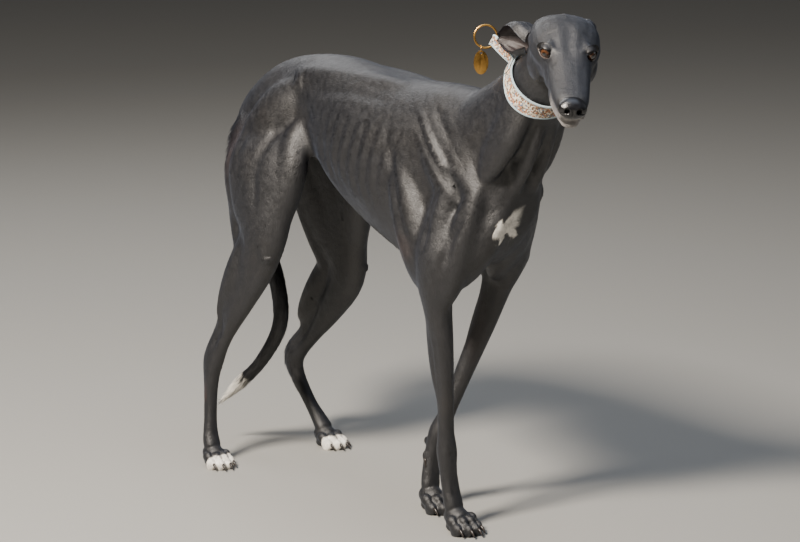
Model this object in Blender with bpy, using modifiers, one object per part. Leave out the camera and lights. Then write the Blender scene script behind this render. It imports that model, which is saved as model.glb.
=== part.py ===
"""A life-size greyhound that stands and looks round to its right, as a still museum model.

Lengths are metres, +Z is up, the dog's forward is -Y and its left is +X.
The body is modelled whole, from lofted trunk, limbs and spindle-shaped muscles, and is then parted by thin cuts.
"""
import math

import bmesh
import bpy
import numpy as np
from mathutils import Matrix, Vector
from mathutils.bvhtree import BVHTree

# Driving sizes
WITHERS = 0.740         # height of the withers above the floor in the finished dog
DRAWN_WITHERS = 0.740   # the same height in the sizes below
GAP = 0.0004            # width of a cut between two nodes
BODY_VOXEL = 0.006      # grid of the trunk and limbs while they are fused
FINE_VOXEL = 0.0028     # grid of the whole dog, with head and paws
BODY_SMOOTHING = 9
FINE_SMOOTHING = 3
TRIANGLES = 7400       # of the whole dog before it is parted

FORWARD = Vector((0, -1, 0))
LEFT = Vector((1, 0, 0))
UP = Vector((0, 0, 1))


def place(forward, left, up):
    """A point from distances along the dog's own directions."""
    return Vector((left, -forward, up))


def clear_scene():
    for obj in list(bpy.data.objects):
        bpy.data.objects.remove(obj)


def new_object(name, mesh, collection=None):
    obj = bpy.data.objects.new(name, mesh)
    (collection or bpy.context.scene.collection).objects.link(obj)
    return obj


def mesh_from(name, work):
    """A mesh object from a bmesh, which is freed."""
    bmesh.ops.recalc_face_normals(work, faces=work.faces)
    mesh = bpy.data.meshes.new(name)
    work.to_mesh(mesh)
    work.free()
    return new_object(name, mesh)


def smooth_rows(rows, steps):
    """Rows of numbers made finer by a Catmull-Rom curve through them."""
    rows = np.array(rows, float)
    padded = np.vstack([2 * rows[0] - rows[1], rows, 2 * rows[-1] - rows[-2]])
    fine = []
    for i in range(1, len(rows)):
        a, b, c, d = padded[i - 1:i + 3]
        for k in range(steps):
            t = k / steps
            fine.append(0.5 * (2 * b + (c - a) * t + (2 * a - 5 * b + 4 * c - d) * t * t
                               + (3 * b - a - 3 * c + d) * t ** 3))
    fine.append(rows[-1])
    return np.array(fine)


def signed_power(value, power):
    return math.copysign(abs(value) ** power, value)


def loft(name, stations, front, around=20, steps=4):
    """A closed tube. A station is (forward, left, up, side, front, back, squareness), where side, front and
    back are the radii across the path, and squareness is 2 for an ellipse."""
    rows = smooth_rows(stations, steps)
    centres = [place(*row[:3]) for row in rows]
    work = bmesh.new()
    rings = []
    for i, row in enumerate(rows):
        along = (centres[min(i + 1, len(rows) - 1)] - centres[max(i - 1, 0)]).normalized()
        ahead = (front - along * front.dot(along)).normalized()
        side = ahead.cross(along)
        ring = []
        for k in range(around):
            angle = 2 * math.pi * k / around
            across = row[3] * signed_power(math.cos(angle), 2 / row[6])
            depth = signed_power(math.sin(angle), 2 / row[6])
            depth *= row[4] if depth > 0 else row[5]
            ring.append(work.verts.new(centres[i] + side * across + ahead * depth))
        rings.append(ring)
    for low, high in zip(rings, rings[1:]):
        for k in range(around):
            nxt = (k + 1) % around
            work.faces.new((low[k], low[nxt], high[nxt], high[k]))
    for ring in (rings[0], rings[-1]):
        work.faces.new(ring)
    return mesh_from(name, work)


def muscle(name, start, end, width, depth, facing=LEFT, segments=16):
    """A spindle-shaped muscle belly from start to end. Depth is measured along facing, width across it."""
    start, end = place(*start), place(*end)
    along = (end - start).normalized()
    out = (facing - along * facing.dot(along)).normalized()
    turn = Matrix((along.cross(out), out, along)).transposed().to_4x4()
    size = Matrix.Diagonal((width / 2, depth / 2, (end - start).length / 2, 1))
    work = bmesh.new()
    bmesh.ops.create_uvsphere(work, u_segments=segments, v_segments=12, radius=1,
                              matrix=Matrix.Translation((start + end) / 2) @ turn @ size)
    return mesh_from(name, work)


# Trunk: forward, height of the widest level, half width, up to the back, down to the underline
TRUNK = (
    (0.325, 0.560, 0.030, 0.045, 0.045),
    (0.305, 0.565, 0.052, 0.085, 0.090),
    (0.270, 0.575, 0.066, 0.130, 0.135),
    (0.220, 0.590, 0.074, 0.150, 0.165),
    (0.150, 0.600, 0.080, 0.146, 0.184),
    (0.080, 0.605, 0.086, 0.138, 0.182),
    (0.000, 0.610, 0.090, 0.132, 0.152),
    (-0.080, 0.625, 0.086, 0.128, 0.122),
    (-0.150, 0.645, 0.074, 0.116, 0.094),
    (-0.220, 0.655, 0.062, 0.100, 0.085),
    (-0.290, 0.650, 0.060, 0.087, 0.080),
    (-0.350, 0.630, 0.056, 0.070, 0.080),
    (-0.400, 0.600, 0.046, 0.052, 0.070),
    (-0.425, 0.585, 0.030, 0.026, 0.045),
)

# Neck: forward, left, up, side radius, throat radius, nape radius, squareness
NECK = (
    (0.120, 0.000, 0.600, 0.040, 0.060, 0.060, 2),
    (0.160, 0.000, 0.618, 0.064, 0.094, 0.084, 2),
    (0.225, 0.000, 0.652, 0.066, 0.104, 0.088, 2),
    (0.290, -0.004, 0.698, 0.060, 0.084, 0.074, 2),
    (0.345, -0.010, 0.742, 0.055, 0.068, 0.062, 2),
    (0.380, -0.016, 0.775, 0.052, 0.060, 0.054, 2),
    (0.412, -0.022, 0.810, 0.049, 0.055, 0.047, 2),
    (0.438, -0.026, 0.842, 0.045, 0.048, 0.038, 2),
    (0.455, -0.030, 0.860, 0.038, 0.040, 0.026, 2),
)

# Section sizes down a leg: side radius, front radius, back radius, squareness
FORE_SIZES = (
    (0.010, 0.036, 0.036, 2), (0.030, 0.052, 0.055, 2), (0.027, 0.036, 0.042, 2), (0.023, 0.028, 0.032, 2),
    (0.019, 0.024, 0.024, 2), (0.0155, 0.019, 0.018, 2), (0.015, 0.017, 0.016, 2), (0.0185, 0.020, 0.020, 2.2),
    (0.0165, 0.016, 0.017, 2.2), (0.018, 0.015, 0.016, 2.2), (0.019, 0.014, 0.018, 2.2),
)
HIND_SIZES = (
    (0.010, 0.050, 0.036, 2), (0.036, 0.100, 0.090, 2.1), (0.036, 0.095, 0.088, 2.1), (0.032, 0.066, 0.052, 2),
    (0.026, 0.050, 0.033, 2), (0.019, 0.034, 0.021, 2), (0.0135, 0.023, 0.029, 2), (0.0155, 0.022, 0.030, 2.2),
    (0.014, 0.016, 0.018, 2.2), (0.0135, 0.013, 0.014, 2.2), (0.0165, 0.014, 0.015, 2.2),
    (0.018, 0.014, 0.017, 2.2),
)

# Centre lines of the four legs, from the body down to the paw: forward, left, up
LEG_PATHS = {
    "fore_right": (
        (0.195, -0.068, 0.560), (0.205, -0.080, 0.480), (0.200, -0.084, 0.420), (0.200, -0.080, 0.380),
        (0.205, -0.076, 0.320), (0.207, -0.071, 0.240), (0.205, -0.067, 0.170), (0.205, -0.065, 0.135),
        (0.208, -0.064, 0.100), (0.216, -0.063, 0.060), (0.226, -0.063, 0.034),
    ),
    "fore_left": (
        (0.195, 0.068, 0.560), (0.195, 0.080, 0.480), (0.175, 0.080, 0.420), (0.166, 0.073, 0.380),
        (0.152, 0.058, 0.320), (0.130, 0.036, 0.240), (0.110, 0.016, 0.170), (0.100, 0.006, 0.135),
        (0.094, -0.001, 0.100), (0.094, -0.008, 0.060), (0.100, -0.012, 0.034),
    ),
    "hind_right": (
        (-0.320, -0.055, 0.640), (-0.300, -0.075, 0.570), (-0.280, -0.088, 0.500), (-0.265, -0.098, 0.440),
        (-0.280, -0.104, 0.380), (-0.316, -0.110, 0.310), (-0.356, -0.118, 0.240), (-0.378, -0.124, 0.190),
        (-0.383, -0.128, 0.150), (-0.380, -0.133, 0.090), (-0.374, -0.137, 0.050), (-0.364, -0.139, 0.030),
    ),
    "hind_left": (
        (-0.320, 0.055, 0.630), (-0.305, 0.075, 0.560), (-0.290, 0.088, 0.480), (-0.284, 0.096, 0.400),
        (-0.282, 0.100, 0.335), (-0.328, 0.100, 0.266), (-0.388, 0.097, 0.200), (-0.426, 0.094, 0.155),
        (-0.418, 0.095, 0.120), (-0.385, 0.098, 0.075), (-0.357, 0.100, 0.045), (-0.343, 0.101, 0.030),
    ),
}

# Tail: forward, left, up, radius
TAIL = (
    (-0.370, 0.000, 0.620, 0.026), (-0.428, 0.002, 0.608, 0.024), (-0.465, 0.006, 0.558, 0.0215),
    (-0.458, 0.010, 0.480, 0.0190), (-0.418, 0.012, 0.400, 0.0175), (-0.374, 0.014, 0.320, 0.0165),
    (-0.362, 0.012, 0.240, 0.0155),
    (-0.400, -0.004, 0.165, 0.0135), (-0.445, -0.024, 0.115, 0.0115), (-0.478, -0.040, 0.078, 0.004),
)


def make_trunk():
    stations = [(f, 0, z, half, up, down, 2.15) for f, z, half, up, down in TRUNK]
    return loft("trunk", stations, UP, around=28)


def make_leg(name):
    sizes = FORE_SIZES if name.startswith("fore") else HIND_SIZES
    return loft(name, [point + size for point, size in zip(LEG_PATHS[name], sizes)], FORWARD)


def make_tail():
    return loft("tail_core", [(f, l, z, r, r, r, 2) for f, l, z, r in TAIL], FORWARD, around=16)


def side_muscles(side, fore, hind):
    """Muscles of one side. Side is 1 for the left; fore and hind are the leg paths of that side."""
    def at(forward, left, up):
        return (forward, side * left, up)

    def near(point, forward, left, up):
        """A point beside a leg's centre line, with left meaning outwards."""
        return (point[0] + forward, point[1] + side * left, point[2] + up)

    out = LEFT * side
    elbow, forearm, wrist = fore[3], fore[5], fore[6]
    thigh, stifle, shank, ankle = hind[2], hind[4], hind[5], hind[7]
    plan = (
        # name, start, end, width, depth
        ("blade_front", at(0.140, 0.036, 0.728), at(0.292, 0.070, 0.560), 0.062, 0.040),
        ("blade_rear", at(0.095, 0.048, 0.705), at(0.240, 0.078, 0.560), 0.062, 0.042),
        ("triceps_long", at(0.075, 0.066, 0.640), near(elbow, -0.030, 0.004, 0.022), 0.086, 0.052),
        ("triceps_side", at(0.215, 0.068, 0.612), near(elbow, -0.012, 0.008, 0.000), 0.066, 0.050),
        ("upper_arm", at(0.286, 0.058, 0.615), near(elbow, 0.018, 0.004, 0.000), 0.058, 0.052),
        ("breast", at(0.318, 0.026, 0.575), near(elbow, 0.012, -0.020, 0.030), 0.062, 0.060),
        ("extensor", near(elbow, 0.016, 0.006, 0.030), near(wrist, 0.002, 0.002, 0.030), 0.030, 0.026),
        ("flexor", near(elbow, -0.022, 0.003, 0.020), near(forearm, -0.010, 0.002, -0.030), 0.028, 0.026),
        ("neck_strap", (0.405, -0.022 + side * 0.030, 0.790), at(0.285, 0.060, 0.600), 0.070, 0.036),
        ("throat_strap", (0.405, -0.020 + side * 0.012, 0.752), at(0.312, 0.020, 0.575), 0.050, 0.026),
        ("back", at(0.100, 0.024, 0.722), at(-0.245, 0.030, 0.722), 0.050, 0.052),
        ("loin", at(-0.040, 0.034, 0.722), at(-0.260, 0.036, 0.714), 0.058, 0.046),
        ("gluteal", at(-0.205, 0.042, 0.708), at(-0.345, 0.076, 0.575), 0.098, 0.056),
        ("croup", at(-0.250, 0.026, 0.708), at(-0.400, 0.036, 0.610), 0.060, 0.050),
        ("thigh_rear", at(-0.385, 0.046, 0.635), near(stifle, 0.006, -0.002, 0.000), 0.112, 0.062),
        ("ham", at(-0.406, 0.048, 0.620), near(shank, 0.016, -0.002, 0.045), 0.054, 0.054),
        ("thigh_front", at(-0.195, 0.058, 0.650), near(stifle, 0.030, -0.002, 0.030), 0.086, 0.058),
        ("groin", near(thigh, 0.070, -0.010, 0.090), near(stifle, 0.035, -0.010, 0.060), 0.030, 0.022),
        ("calf", near(stifle, -0.006, 0.002, 0.070), near(ankle, 0.014, -0.002, 0.070), 0.048, 0.044),
        ("shin", near(stifle, 0.030, 0.002, 0.040), near(ankle, 0.022, 0.000, 0.030), 0.030, 0.030),
        ("heel_cord", near(shank, -0.030, 0.000, 0.020), near(ankle, -0.024, 0.000, -0.006), 0.016, 0.013),
    )
    return [muscle(name, start, end, width, depth, out) for name, start, end, width, depth in plan]


SHEATH = ((-0.215, 0.0, 0.560), (-0.110, 0.0, 0.520), 0.030, 0.034)


def make_body_pieces():
    pieces = [make_trunk(), loft("neck_core", NECK, FORWARD - UP, around=24), make_tail()]
    pieces += [make_leg(name) for name in LEG_PATHS]
    pieces += side_muscles(-1, LEG_PATHS["fore_right"], LEG_PATHS["hind_right"])
    pieces += side_muscles(1, LEG_PATHS["fore_left"], LEG_PATHS["hind_left"])
    pieces.append(muscle("sheath", *SHEATH))
    return pieces


# Paws: place of the pad's middle (forward, left), turn outwards in degrees, and scale
PAWS = {
    "fore_right": (0.232, -0.063, 4, 1.0),
    "fore_left": (0.106, -0.014, -4, 1.0),
    "hind_right": (-0.362, -0.139, 6, 0.92),
    "hind_left": (-0.341, 0.101, 6, 0.92),
}
# Toes: across, reach ahead of the pad's middle
TOES = ((-0.0215, 0.024), (-0.0078, 0.036), (0.0078, 0.036), (0.0215, 0.024))
SOLE_SINK = 0.0015      # how far the pads reach under the floor before they are cut flat


def blob(name, centre, size):
    """An ellipsoid about a centre, in its own forward, left and up directions."""
    work = bmesh.new()
    turn = Matrix.Translation(place(*centre)) @ Matrix.Diagonal((size[1] / 2, size[0] / 2, size[2] / 2, 1))
    bmesh.ops.create_uvsphere(work, u_segments=14, v_segments=10, radius=1, matrix=turn)
    return mesh_from(name, work)


def claw(name, root, tip, radius):
    """A bent cone from the toe to the floor."""
    middle = [(a + b) / 2 for a, b in zip(root, tip)]
    middle[2] += 0.0025
    stations = [tuple(point) + (size, size, size, 2)
                for point, size in ((root, radius), (middle, radius * 0.85), (tip, radius * 0.25))]
    return loft(name, stations, UP, around=8, steps=2)


def make_paw(name):
    """Four knuckled toes with claws round a pad."""
    forward, left, turn, scale = PAWS[name]
    side = 1 if name.endswith("left") else -1
    pieces = [
        blob("instep", (-0.004, 0, 0.026), (0.052, 0.040, 0.036)),
        blob("pad", (-0.006, 0, 0.0085), (0.036, 0.034, 0.020)),
    ]
    for across, reach in TOES:
        pieces += [
            blob("knuckle", (reach - 0.014, across * 0.96, 0.0235), (0.026, 0.0165, 0.021)),
            blob("toe", (reach, across, 0.0125), (0.030, 0.0155, 0.023)),
            blob("toe_pad", (reach - 0.001, across, 0.005), (0.022, 0.0130, 0.013)),
            claw("claw", (reach + 0.010, across, 0.0135), (reach + 0.0235, across * 1.04, 0.0030), 0.0034),
        ]
    turned = Matrix.Rotation(math.radians(turn * side), 4, "Z") @ Matrix.Scale(scale, 4)
    moved = Matrix.Translation(place(forward, left, -SOLE_SINK)) @ turned
    for piece in pieces:
        piece.data.transform(moved)
    if name.startswith("fore"):
        wrist = LEG_PATHS[name][8]
        inner = -side
        root = (wrist[0] - 0.006, wrist[1] + inner * 0.014, wrist[2] - 0.008)
        pieces += [
            blob("dewclaw_toe", root, (0.014, 0.012, 0.020)),
            claw("dewclaw", (root[0] + 0.004, root[1] + inner * 0.003, root[2] - 0.007),
                 (root[0] + 0.008, root[1] + inner * 0.006, root[2] - 0.018), 0.0030),
            blob("wrist_pad", (wrist[0] - 0.018, wrist[1], wrist[2] + 0.014), (0.014, 0.014, 0.018)),
        ]
    return pieces


# Head, in its own frame from the occiput: ahead, half width, up, down, squareness
SKULL = (
    (-0.014, 0.028, 0.002, 0.036, 2),
    (0.002, 0.042, 0.016, 0.052, 2),
    (0.020, 0.050, 0.029, 0.060, 2.1),
    (0.045, 0.055, 0.038, 0.064, 2.2),
    (0.070, 0.055, 0.040, 0.064, 2.2),
    (0.096, 0.049, 0.036, 0.056, 2.2),
    (0.120, 0.0400, 0.0310, 0.046, 2.3),
    (0.145, 0.0360, 0.0260, 0.036, 2.3),
    (0.175, 0.0325, 0.0225, 0.030, 2.4),
    (0.205, 0.0295, 0.0200, 0.027, 2.4),
    (0.230, 0.0260, 0.0180, 0.024, 2.4),
    (0.245, 0.0200, 0.0140, 0.019, 2.2),
    (0.252, 0.0120, 0.0080, 0.011, 2),
)
# Lower jaw: ahead, half width, up, down, height of its centre line
JAW = (
    (0.045, 0.036, 0.024, 0.024, -0.046),
    (0.090, 0.032, 0.020, 0.021, -0.044),
    (0.140, 0.0245, 0.014, 0.015, -0.037),
    (0.190, 0.0220, 0.012, 0.013, -0.032),
    (0.222, 0.0190, 0.011, 0.0125, -0.029),
    (0.237, 0.0125, 0.008, 0.009, -0.027),
)
OCCIPUT = place(0.4367, -0.022, 0.8769)
HEAD_YAW = math.radians(37.8)
HEAD_PITCH = math.radians(25.2)
HEAD_ROLL = math.radians(3.6)

EYE = (0.112, 0.0325, 0.0185)        # ahead, out, up from the occiput
EYE_RADIUS = 0.0112
EYE_OUTWARD = math.radians(30)
LID = 0.0019
NOSE = (0.247, 0.0, 0.004)


def head_matrix():
    """From the head's frame (forward along -Y, left +X, up +Z, origin at the occiput) to the dog's."""
    return (Matrix.Translation(OCCIPUT) @ Matrix.Rotation(-HEAD_YAW, 4, "Z")
            @ Matrix.Rotation(HEAD_PITCH, 4, "X") @ Matrix.Rotation(HEAD_ROLL, 4, "Y"))


def eye_matrix(side):
    """The eye's own frame, which looks along its -Y, in the head's frame."""
    return Matrix.Translation(place(EYE[0], side * EYE[1], EYE[2])) @ Matrix.Rotation(side * EYE_OUTWARD, 4, "Z")


def make_head_pieces():
    """The head's bone and muscle forms, in the head's frame."""
    pieces = [
        loft("skull", [(a, 0, 0, half, up, down, power) for a, half, up, down, power in SKULL], UP, around=24),
        loft("jaw", [(a, 0, z, half, up, down, 2.2) for a, half, up, down, z in JAW], UP, around=20),
        blob("nose_leather", NOSE, (0.024, 0.043, 0.032)),
        blob("chin", (0.231, 0, -0.032), (0.024, 0.030, 0.017)),
    ]
    for side in (-1, 1):
        out = LEFT * side
        plan = (
            ("cheekbone", (0.125, 0.032, -0.004), (0.020, 0.052, -0.012), 0.026, 0.020),
            ("temple", (0.098, 0.024, 0.016), (0.008, 0.026, 0.002), 0.040, 0.036),
            ("cheek", (0.105, 0.036, -0.026), (0.010, 0.042, -0.050), 0.060, 0.034),
            ("brow", (0.134, 0.019, 0.018), (0.086, 0.031, 0.026), 0.016, 0.010),
            ("lip", (0.150, 0.026, -0.020), (0.246, 0.016, -0.015), 0.024, 0.016),
        )
        for name, start, end, width, depth in plan:
            ends = [(p[0], side * p[1], p[2]) for p in (start, end)]
            pieces.append(muscle(name, ends[0], ends[1], width, depth, out))
        work = bmesh.new()
        bmesh.ops.create_uvsphere(work, u_segments=20, v_segments=14, radius=EYE_RADIUS + LID,
                                  matrix=eye_matrix(side))
        pieces.append(mesh_from("lids", work))
    for piece in pieces:
        piece.data.transform(head_matrix())
    return pieces


def joined(name, pieces):
    """One mesh object that holds all the pieces."""
    work = bmesh.new()
    for piece in pieces:
        work.from_mesh(piece.data)
        bpy.data.objects.remove(piece)
    mesh = bpy.data.meshes.new(name)
    work.to_mesh(mesh)
    work.free()
    return new_object(name, mesh)


def applied(obj):
    """The object with its modifiers applied."""
    graph = bpy.context.evaluated_depsgraph_get()
    mesh = bpy.data.meshes.new_from_object(obj.evaluated_get(graph))
    obj.modifiers.clear()
    obj.data = mesh
    return obj


def fused(name, pieces, voxel, smoothing):
    """The pieces grown into one closed skin, with the creases between them softened."""
    obj = joined(name, pieces)
    remesh = obj.modifiers.new("fuse", "REMESH")
    remesh.mode = "VOXEL"
    remesh.voxel_size = voxel
    smooth = obj.modifiers.new("soften", "SMOOTH")
    smooth.factor = 0.5
    smooth.iterations = smoothing
    return applied(obj)


def cleaned(obj):
    """No doubled points and no faces without area."""
    work = bmesh.new()
    work.from_mesh(obj.data)
    bmesh.ops.remove_doubles(work, verts=work.verts, dist=2e-5)
    bmesh.ops.dissolve_degenerate(work, edges=work.edges, dist=2e-5)
    work.to_mesh(obj.data)
    work.free()


def boolean(target, cutters, operation="DIFFERENCE"):
    """One Boolean on a collection of closed meshes, applied, with the meshes then removed."""
    group = bpy.data.collections.new("boolean pieces")
    bpy.context.scene.collection.children.link(group)
    for piece in cutters:
        for home in list(piece.users_collection):
            home.objects.unlink(piece)
        group.objects.link(piece)
    change = target.modifiers.new("boolean", "BOOLEAN")
    change.operation = operation
    change.operand_type = "COLLECTION"
    change.collection = group
    change.solver = "EXACT"
    applied(target)
    cleaned(target)
    for piece in cutters:
        bpy.data.objects.remove(piece)
    bpy.data.collections.remove(group)


def ball(name, radius, matrix, segments=18, rings=12):
    work = bmesh.new()
    bmesh.ops.create_uvsphere(work, u_segments=segments, v_segments=rings, radius=radius, matrix=matrix)
    return mesh_from(name, work)


SOCKET_GAP = 0.0004
LID_OPENING = (0.0122, 0.0100, 0.0078)   # half width, depth and height of the opening
MOUTH_LINE = (
    (0.132, 0.0390, -0.0330), (0.150, 0.0370, -0.0315), (0.175, 0.0335, -0.0290), (0.205, 0.0300, -0.0270),
    (0.228, 0.0250, -0.0250), (0.242, 0.0140, -0.0235), (0.2470, 0.0, -0.0230),
)
MOUTH_HALF_GAP = 0.0008
MOUTH_DEPTH = 0.0060


def make_head_cutters():
    """Sockets, lid openings, nostrils and the mouth line, in the head's frame."""
    line = [(a, -s, z) for a, s, z in MOUTH_LINE] + [(a, s, z) for a, s, z in MOUTH_LINE[-2::-1]]
    cutters = [loft("mouth_line", [p + (MOUTH_DEPTH, MOUTH_HALF_GAP, MOUTH_HALF_GAP, 2) for p in line], UP,
                    around=10, steps=2)]
    for side in (-1, 1):
        socket = eye_matrix(side)
        cutters.append(ball("socket", EYE_RADIUS + SOCKET_GAP, socket))
        opening = Matrix.Translation((0, -EYE_RADIUS, 0)) @ Matrix.Diagonal((*LID_OPENING, 1))
        cutters.append(ball("lid_opening", 1, socket @ opening))
        cutters.append(blob("nostril", (0.2575, side * 0.0095, 0.0045), (0.016, 0.0088, 0.0100)))
        cutters.append(muscle("nostril_slit", (0.2590, side * 0.0120, 0.0020), (0.2470, side * 0.0235, -0.0010),
                              0.0040, 0.0028, UP))
    for cutter in cutters:
        cutter.data.transform(head_matrix())
    return cutters


def make_eyes():
    return [ball("eye_" + label, EYE_RADIUS, head_matrix() @ eye_matrix(side))
            for label, side in (("right", -1), ("left", 1))]


# Ears: root, direction and the way the cup faces, in the head's frame, for the left side
EARS = {
    "ear_right": (-1, (0.006, 0.046, -0.036), (-0.72, 0.68, -0.14), (0.66, 0.72, 0.10), 0.076),
    "ear_left": (1, (0.000, 0.038, -0.030), (-0.95, 0.14, -0.24), (0.20, 0.96, 0.10), 0.070),
}
# Along the ear: radius of the cup, half of the angle that its wall spans
EAR_FORM = ((0.0170, 168), (0.0220, 150), (0.0240, 132), (0.0220, 116), (0.0160, 100), (0.0050, 80))
EAR_WALL = 0.0032
EAR_TALL = 1.20         # the cup's height to its width
EAR_DROOP = 0.018


def make_ear(name):
    """A rose ear: a cup of thin skin that opens to the front and folds back to a drooping tip."""
    side, root, along, facing, length = EARS[name]
    root, along, facing = (place(v[0], side * v[1], v[2]) for v in (root, along, facing))
    along.normalize()
    facing = (facing - along * facing.dot(along)).normalized()
    third = along.cross(facing)
    rows = smooth_rows(EAR_FORM, 2)
    work = bmesh.new()
    grid = []
    columns = 11
    for i, (radius, spread) in enumerate(rows):
        t = i / (len(rows) - 1)
        centre = root + along * (length * t) - UP * (EAR_DROOP * t * t)
        line = []
        for k in range(columns):
            angle = math.radians(spread) * (2 * k / (columns - 1) - 1)
            line.append(work.verts.new(centre - facing * (radius * math.cos(angle))
                                       + third * (radius * EAR_TALL * math.sin(angle))))
        grid.append(line)
    for low, high in zip(grid, grid[1:]):
        for k in range(columns - 1):
            work.faces.new((low[k], low[k + 1], high[k + 1], high[k]))
    ear = mesh_from(name, work)
    ear.data.transform(head_matrix())
    wall = ear.modifiers.new("wall", "SOLIDIFY")
    wall.thickness = EAR_WALL
    wall.offset = 0
    return applied(ear)


def grown(source, distance):
    """A copy of a mesh, pushed out along its normals."""
    copy = new_object("grown", source.data.copy())
    for vertex, normal in zip(copy.data.vertices, [v.normal.copy() for v in copy.data.vertices]):
        vertex.co += normal * distance
    return copy


def islands(mesh):
    """The closed surfaces of a mesh, as lists of faces of a bmesh."""
    work = bmesh.new()
    work.from_mesh(mesh)
    work.faces.ensure_lookup_table()
    seen, found = set(), []
    for start in work.faces:
        if start in seen:
            continue
        seen.add(start)
        group, queue = [], [start]
        while queue:
            face = queue.pop()
            group.append(face)
            for edge in face.edges:
                for other in edge.link_faces:
                    if other not in seen:
                        seen.add(other)
                        queue.append(other)
        found.append(group)
    return work, found


def island_object(name, group):
    """One surface as an object of its own."""
    work = bmesh.new()
    made = {}
    for face in group:
        corners = []
        for vert in face.verts:
            if vert not in made:
                made[vert] = work.verts.new(vert.co)
            corners.append(made[vert])
        work.faces.new(corners)
    mesh = bpy.data.meshes.new(name)
    work.to_mesh(mesh)
    work.free()
    return new_object(name, mesh)


def keep_largest(obj):
    work, found = islands(obj.data)
    largest = island_object(obj.name, max(found, key=lambda group: sum(f.calc_area() for f in group)))
    work.free()
    name = obj.name
    bpy.data.objects.remove(obj)
    largest.name = name
    return largest


# Cuts: middle of the disc, its axis and its radius (forward, left, up)
CUTS = (
    ("nape", (0.418, -0.024, 0.836), (0.80, -0.20, 0.20), 0.085),
    ("collar_bone", (0.245, 0.000, 0.664), (0.56, 0.00, 0.83), 0.165),
    ("tail_root", (-0.450, 0.004, 0.590), (-0.60, 0.05, -0.80), 0.034),
    ("tail_bend", (-0.418, 0.012, 0.400), (0.45, 0.00, -0.90), 0.030),
    ("tail_end", (-0.384, 0.003, 0.182), (-0.60, -0.30, -0.74), 0.028),
    ("elbow_right", (0.200, -0.083, 0.424), (0.00, 0.40, 0.90), 0.080),
    ("elbow_left", (0.180, 0.083, 0.424), (0.00, -0.40, 0.90), 0.086),
    ("wrist_right", (0.205, -0.066, 0.152), (0.00, 0.00, 1.00), 0.032),
    ("wrist_left", (0.105, 0.011, 0.152), (0.20, 0.25, 0.95), 0.032),
    ("forefoot_right", (0.219, -0.063, 0.050), (-0.30, 0.00, 1.00), 0.034),
    ("forefoot_left", (0.097, -0.010, 0.050), (-0.20, 0.10, 1.00), 0.034),
    ("hip_right", (-0.300, -0.050, 0.560), (0.00, 0.60, 0.80), 0.155),
    ("hip_left", (-0.305, 0.050, 0.555), (0.00, -0.60, 0.80), 0.155),
    ("stifle_right", (-0.262, -0.100, 0.415), (-0.25, 0.00, 1.00), 0.100),
    ("stifle_left", (-0.292, 0.097, 0.375), (-0.35, 0.00, 1.00), 0.100),
    ("hock_right", (-0.383, -0.127, 0.158), (0.00, 0.00, 1.00), 0.036),
    ("hock_left", (-0.421, 0.095, 0.128), (-0.50, 0.00, 1.00), 0.036),
    ("hindfoot_right", (-0.374, -0.137, 0.046), (-0.20, 0.00, 1.00), 0.032),
    ("hindfoot_left", (-0.357, 0.100, 0.044), (-0.50, 0.00, 1.00), 0.032),
)
# A point well inside each node of the body, which names it after the cuts
NODES = {
    "head": (0.50, -0.07, 0.84), "neck": (0.33, -0.01, 0.73), "torso": (0.00, 0.00, 0.61),
    "tail_root": (-0.42, 0.01, 0.50), "tail_middle": (-0.372, 0.015, 0.29), "tail_tip": (-0.44, -0.02, 0.12),
    "foreleg_right": (0.205, -0.072, 0.28), "foreleg_left": (0.14, 0.045, 0.28),
    "pastern_fore_right": (0.208, -0.064, 0.10), "pastern_fore_left": (0.096, 0.00, 0.10),
    "paw_fore_right": (0.235, -0.063, 0.02), "paw_fore_left": (0.11, -0.014, 0.02),
    "thigh_right": (-0.28, -0.09, 0.50), "thigh_left": (-0.29, 0.09, 0.48),
    "shank_right": (-0.30, -0.11, 0.31), "shank_left": (-0.345, 0.10, 0.265),
    "hock_right": (-0.38, -0.132, 0.10), "hock_left": (-0.39, 0.097, 0.085),
    "paw_hind_right": (-0.355, -0.139, 0.02), "paw_hind_left": (-0.335, 0.101, 0.02),
}


def cutting_disc(name, centre, axis, radius):
    centre, axis = place(*centre), place(*axis)
    turn = axis.normalized().to_track_quat("Z", "Y").to_matrix().to_4x4()
    work = bmesh.new()
    bmesh.ops.create_cone(work, cap_ends=True, segments=24, radius1=radius, radius2=radius, depth=GAP,
                          matrix=Matrix.Translation(centre) @ turn)
    return mesh_from(name, work)


def part_body(dog):
    """Thin cuts, and one object for each node they leave."""
    boolean(dog, [cutting_disc(*cut) for cut in CUTS])
    work, found = islands(dog.data)
    middles = []
    for group in found:
        area = sum(face.calc_area() for face in group)
        middle = sum((face.calc_center_median() * face.calc_area() for face in group), Vector()) / area
        middles.append((area, middle, len(group)))
    nodes = []
    for name, seed in NODES.items():
        seed = place(*seed)
        best = min(range(len(found)), key=lambda i: (middles[i][1] - seed).length + (middles[i][0] < 0.002))
        nodes.append(island_object(name, found[best]))
        print(name, len(found[best]), [round(v, 3) for v in middles[best][1]], round(middles[best][0], 4))
    print("surfaces", len(found), "nodes", len(nodes))
    work.free()
    bpy.data.objects.remove(dog)
    return nodes


def flatten_soles(dog):
    """Cut the pads flat at the floor."""
    work = bmesh.new()
    work.from_mesh(dog.data)
    everything = work.verts[:] + work.edges[:] + work.faces[:]
    cut = bmesh.ops.bisect_plane(work, geom=everything, dist=1e-5, plane_co=(0, 0, 0), plane_no=(0, 0, -1),
                                 clear_outer=True)
    edges = [piece for piece in cut["geom_cut"] if isinstance(piece, bmesh.types.BMEdge)]
    bmesh.ops.holes_fill(work, edges=edges, sides=0)
    bmesh.ops.triangulate(work, faces=work.faces)
    work.to_mesh(dog.data)
    work.free()


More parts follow.
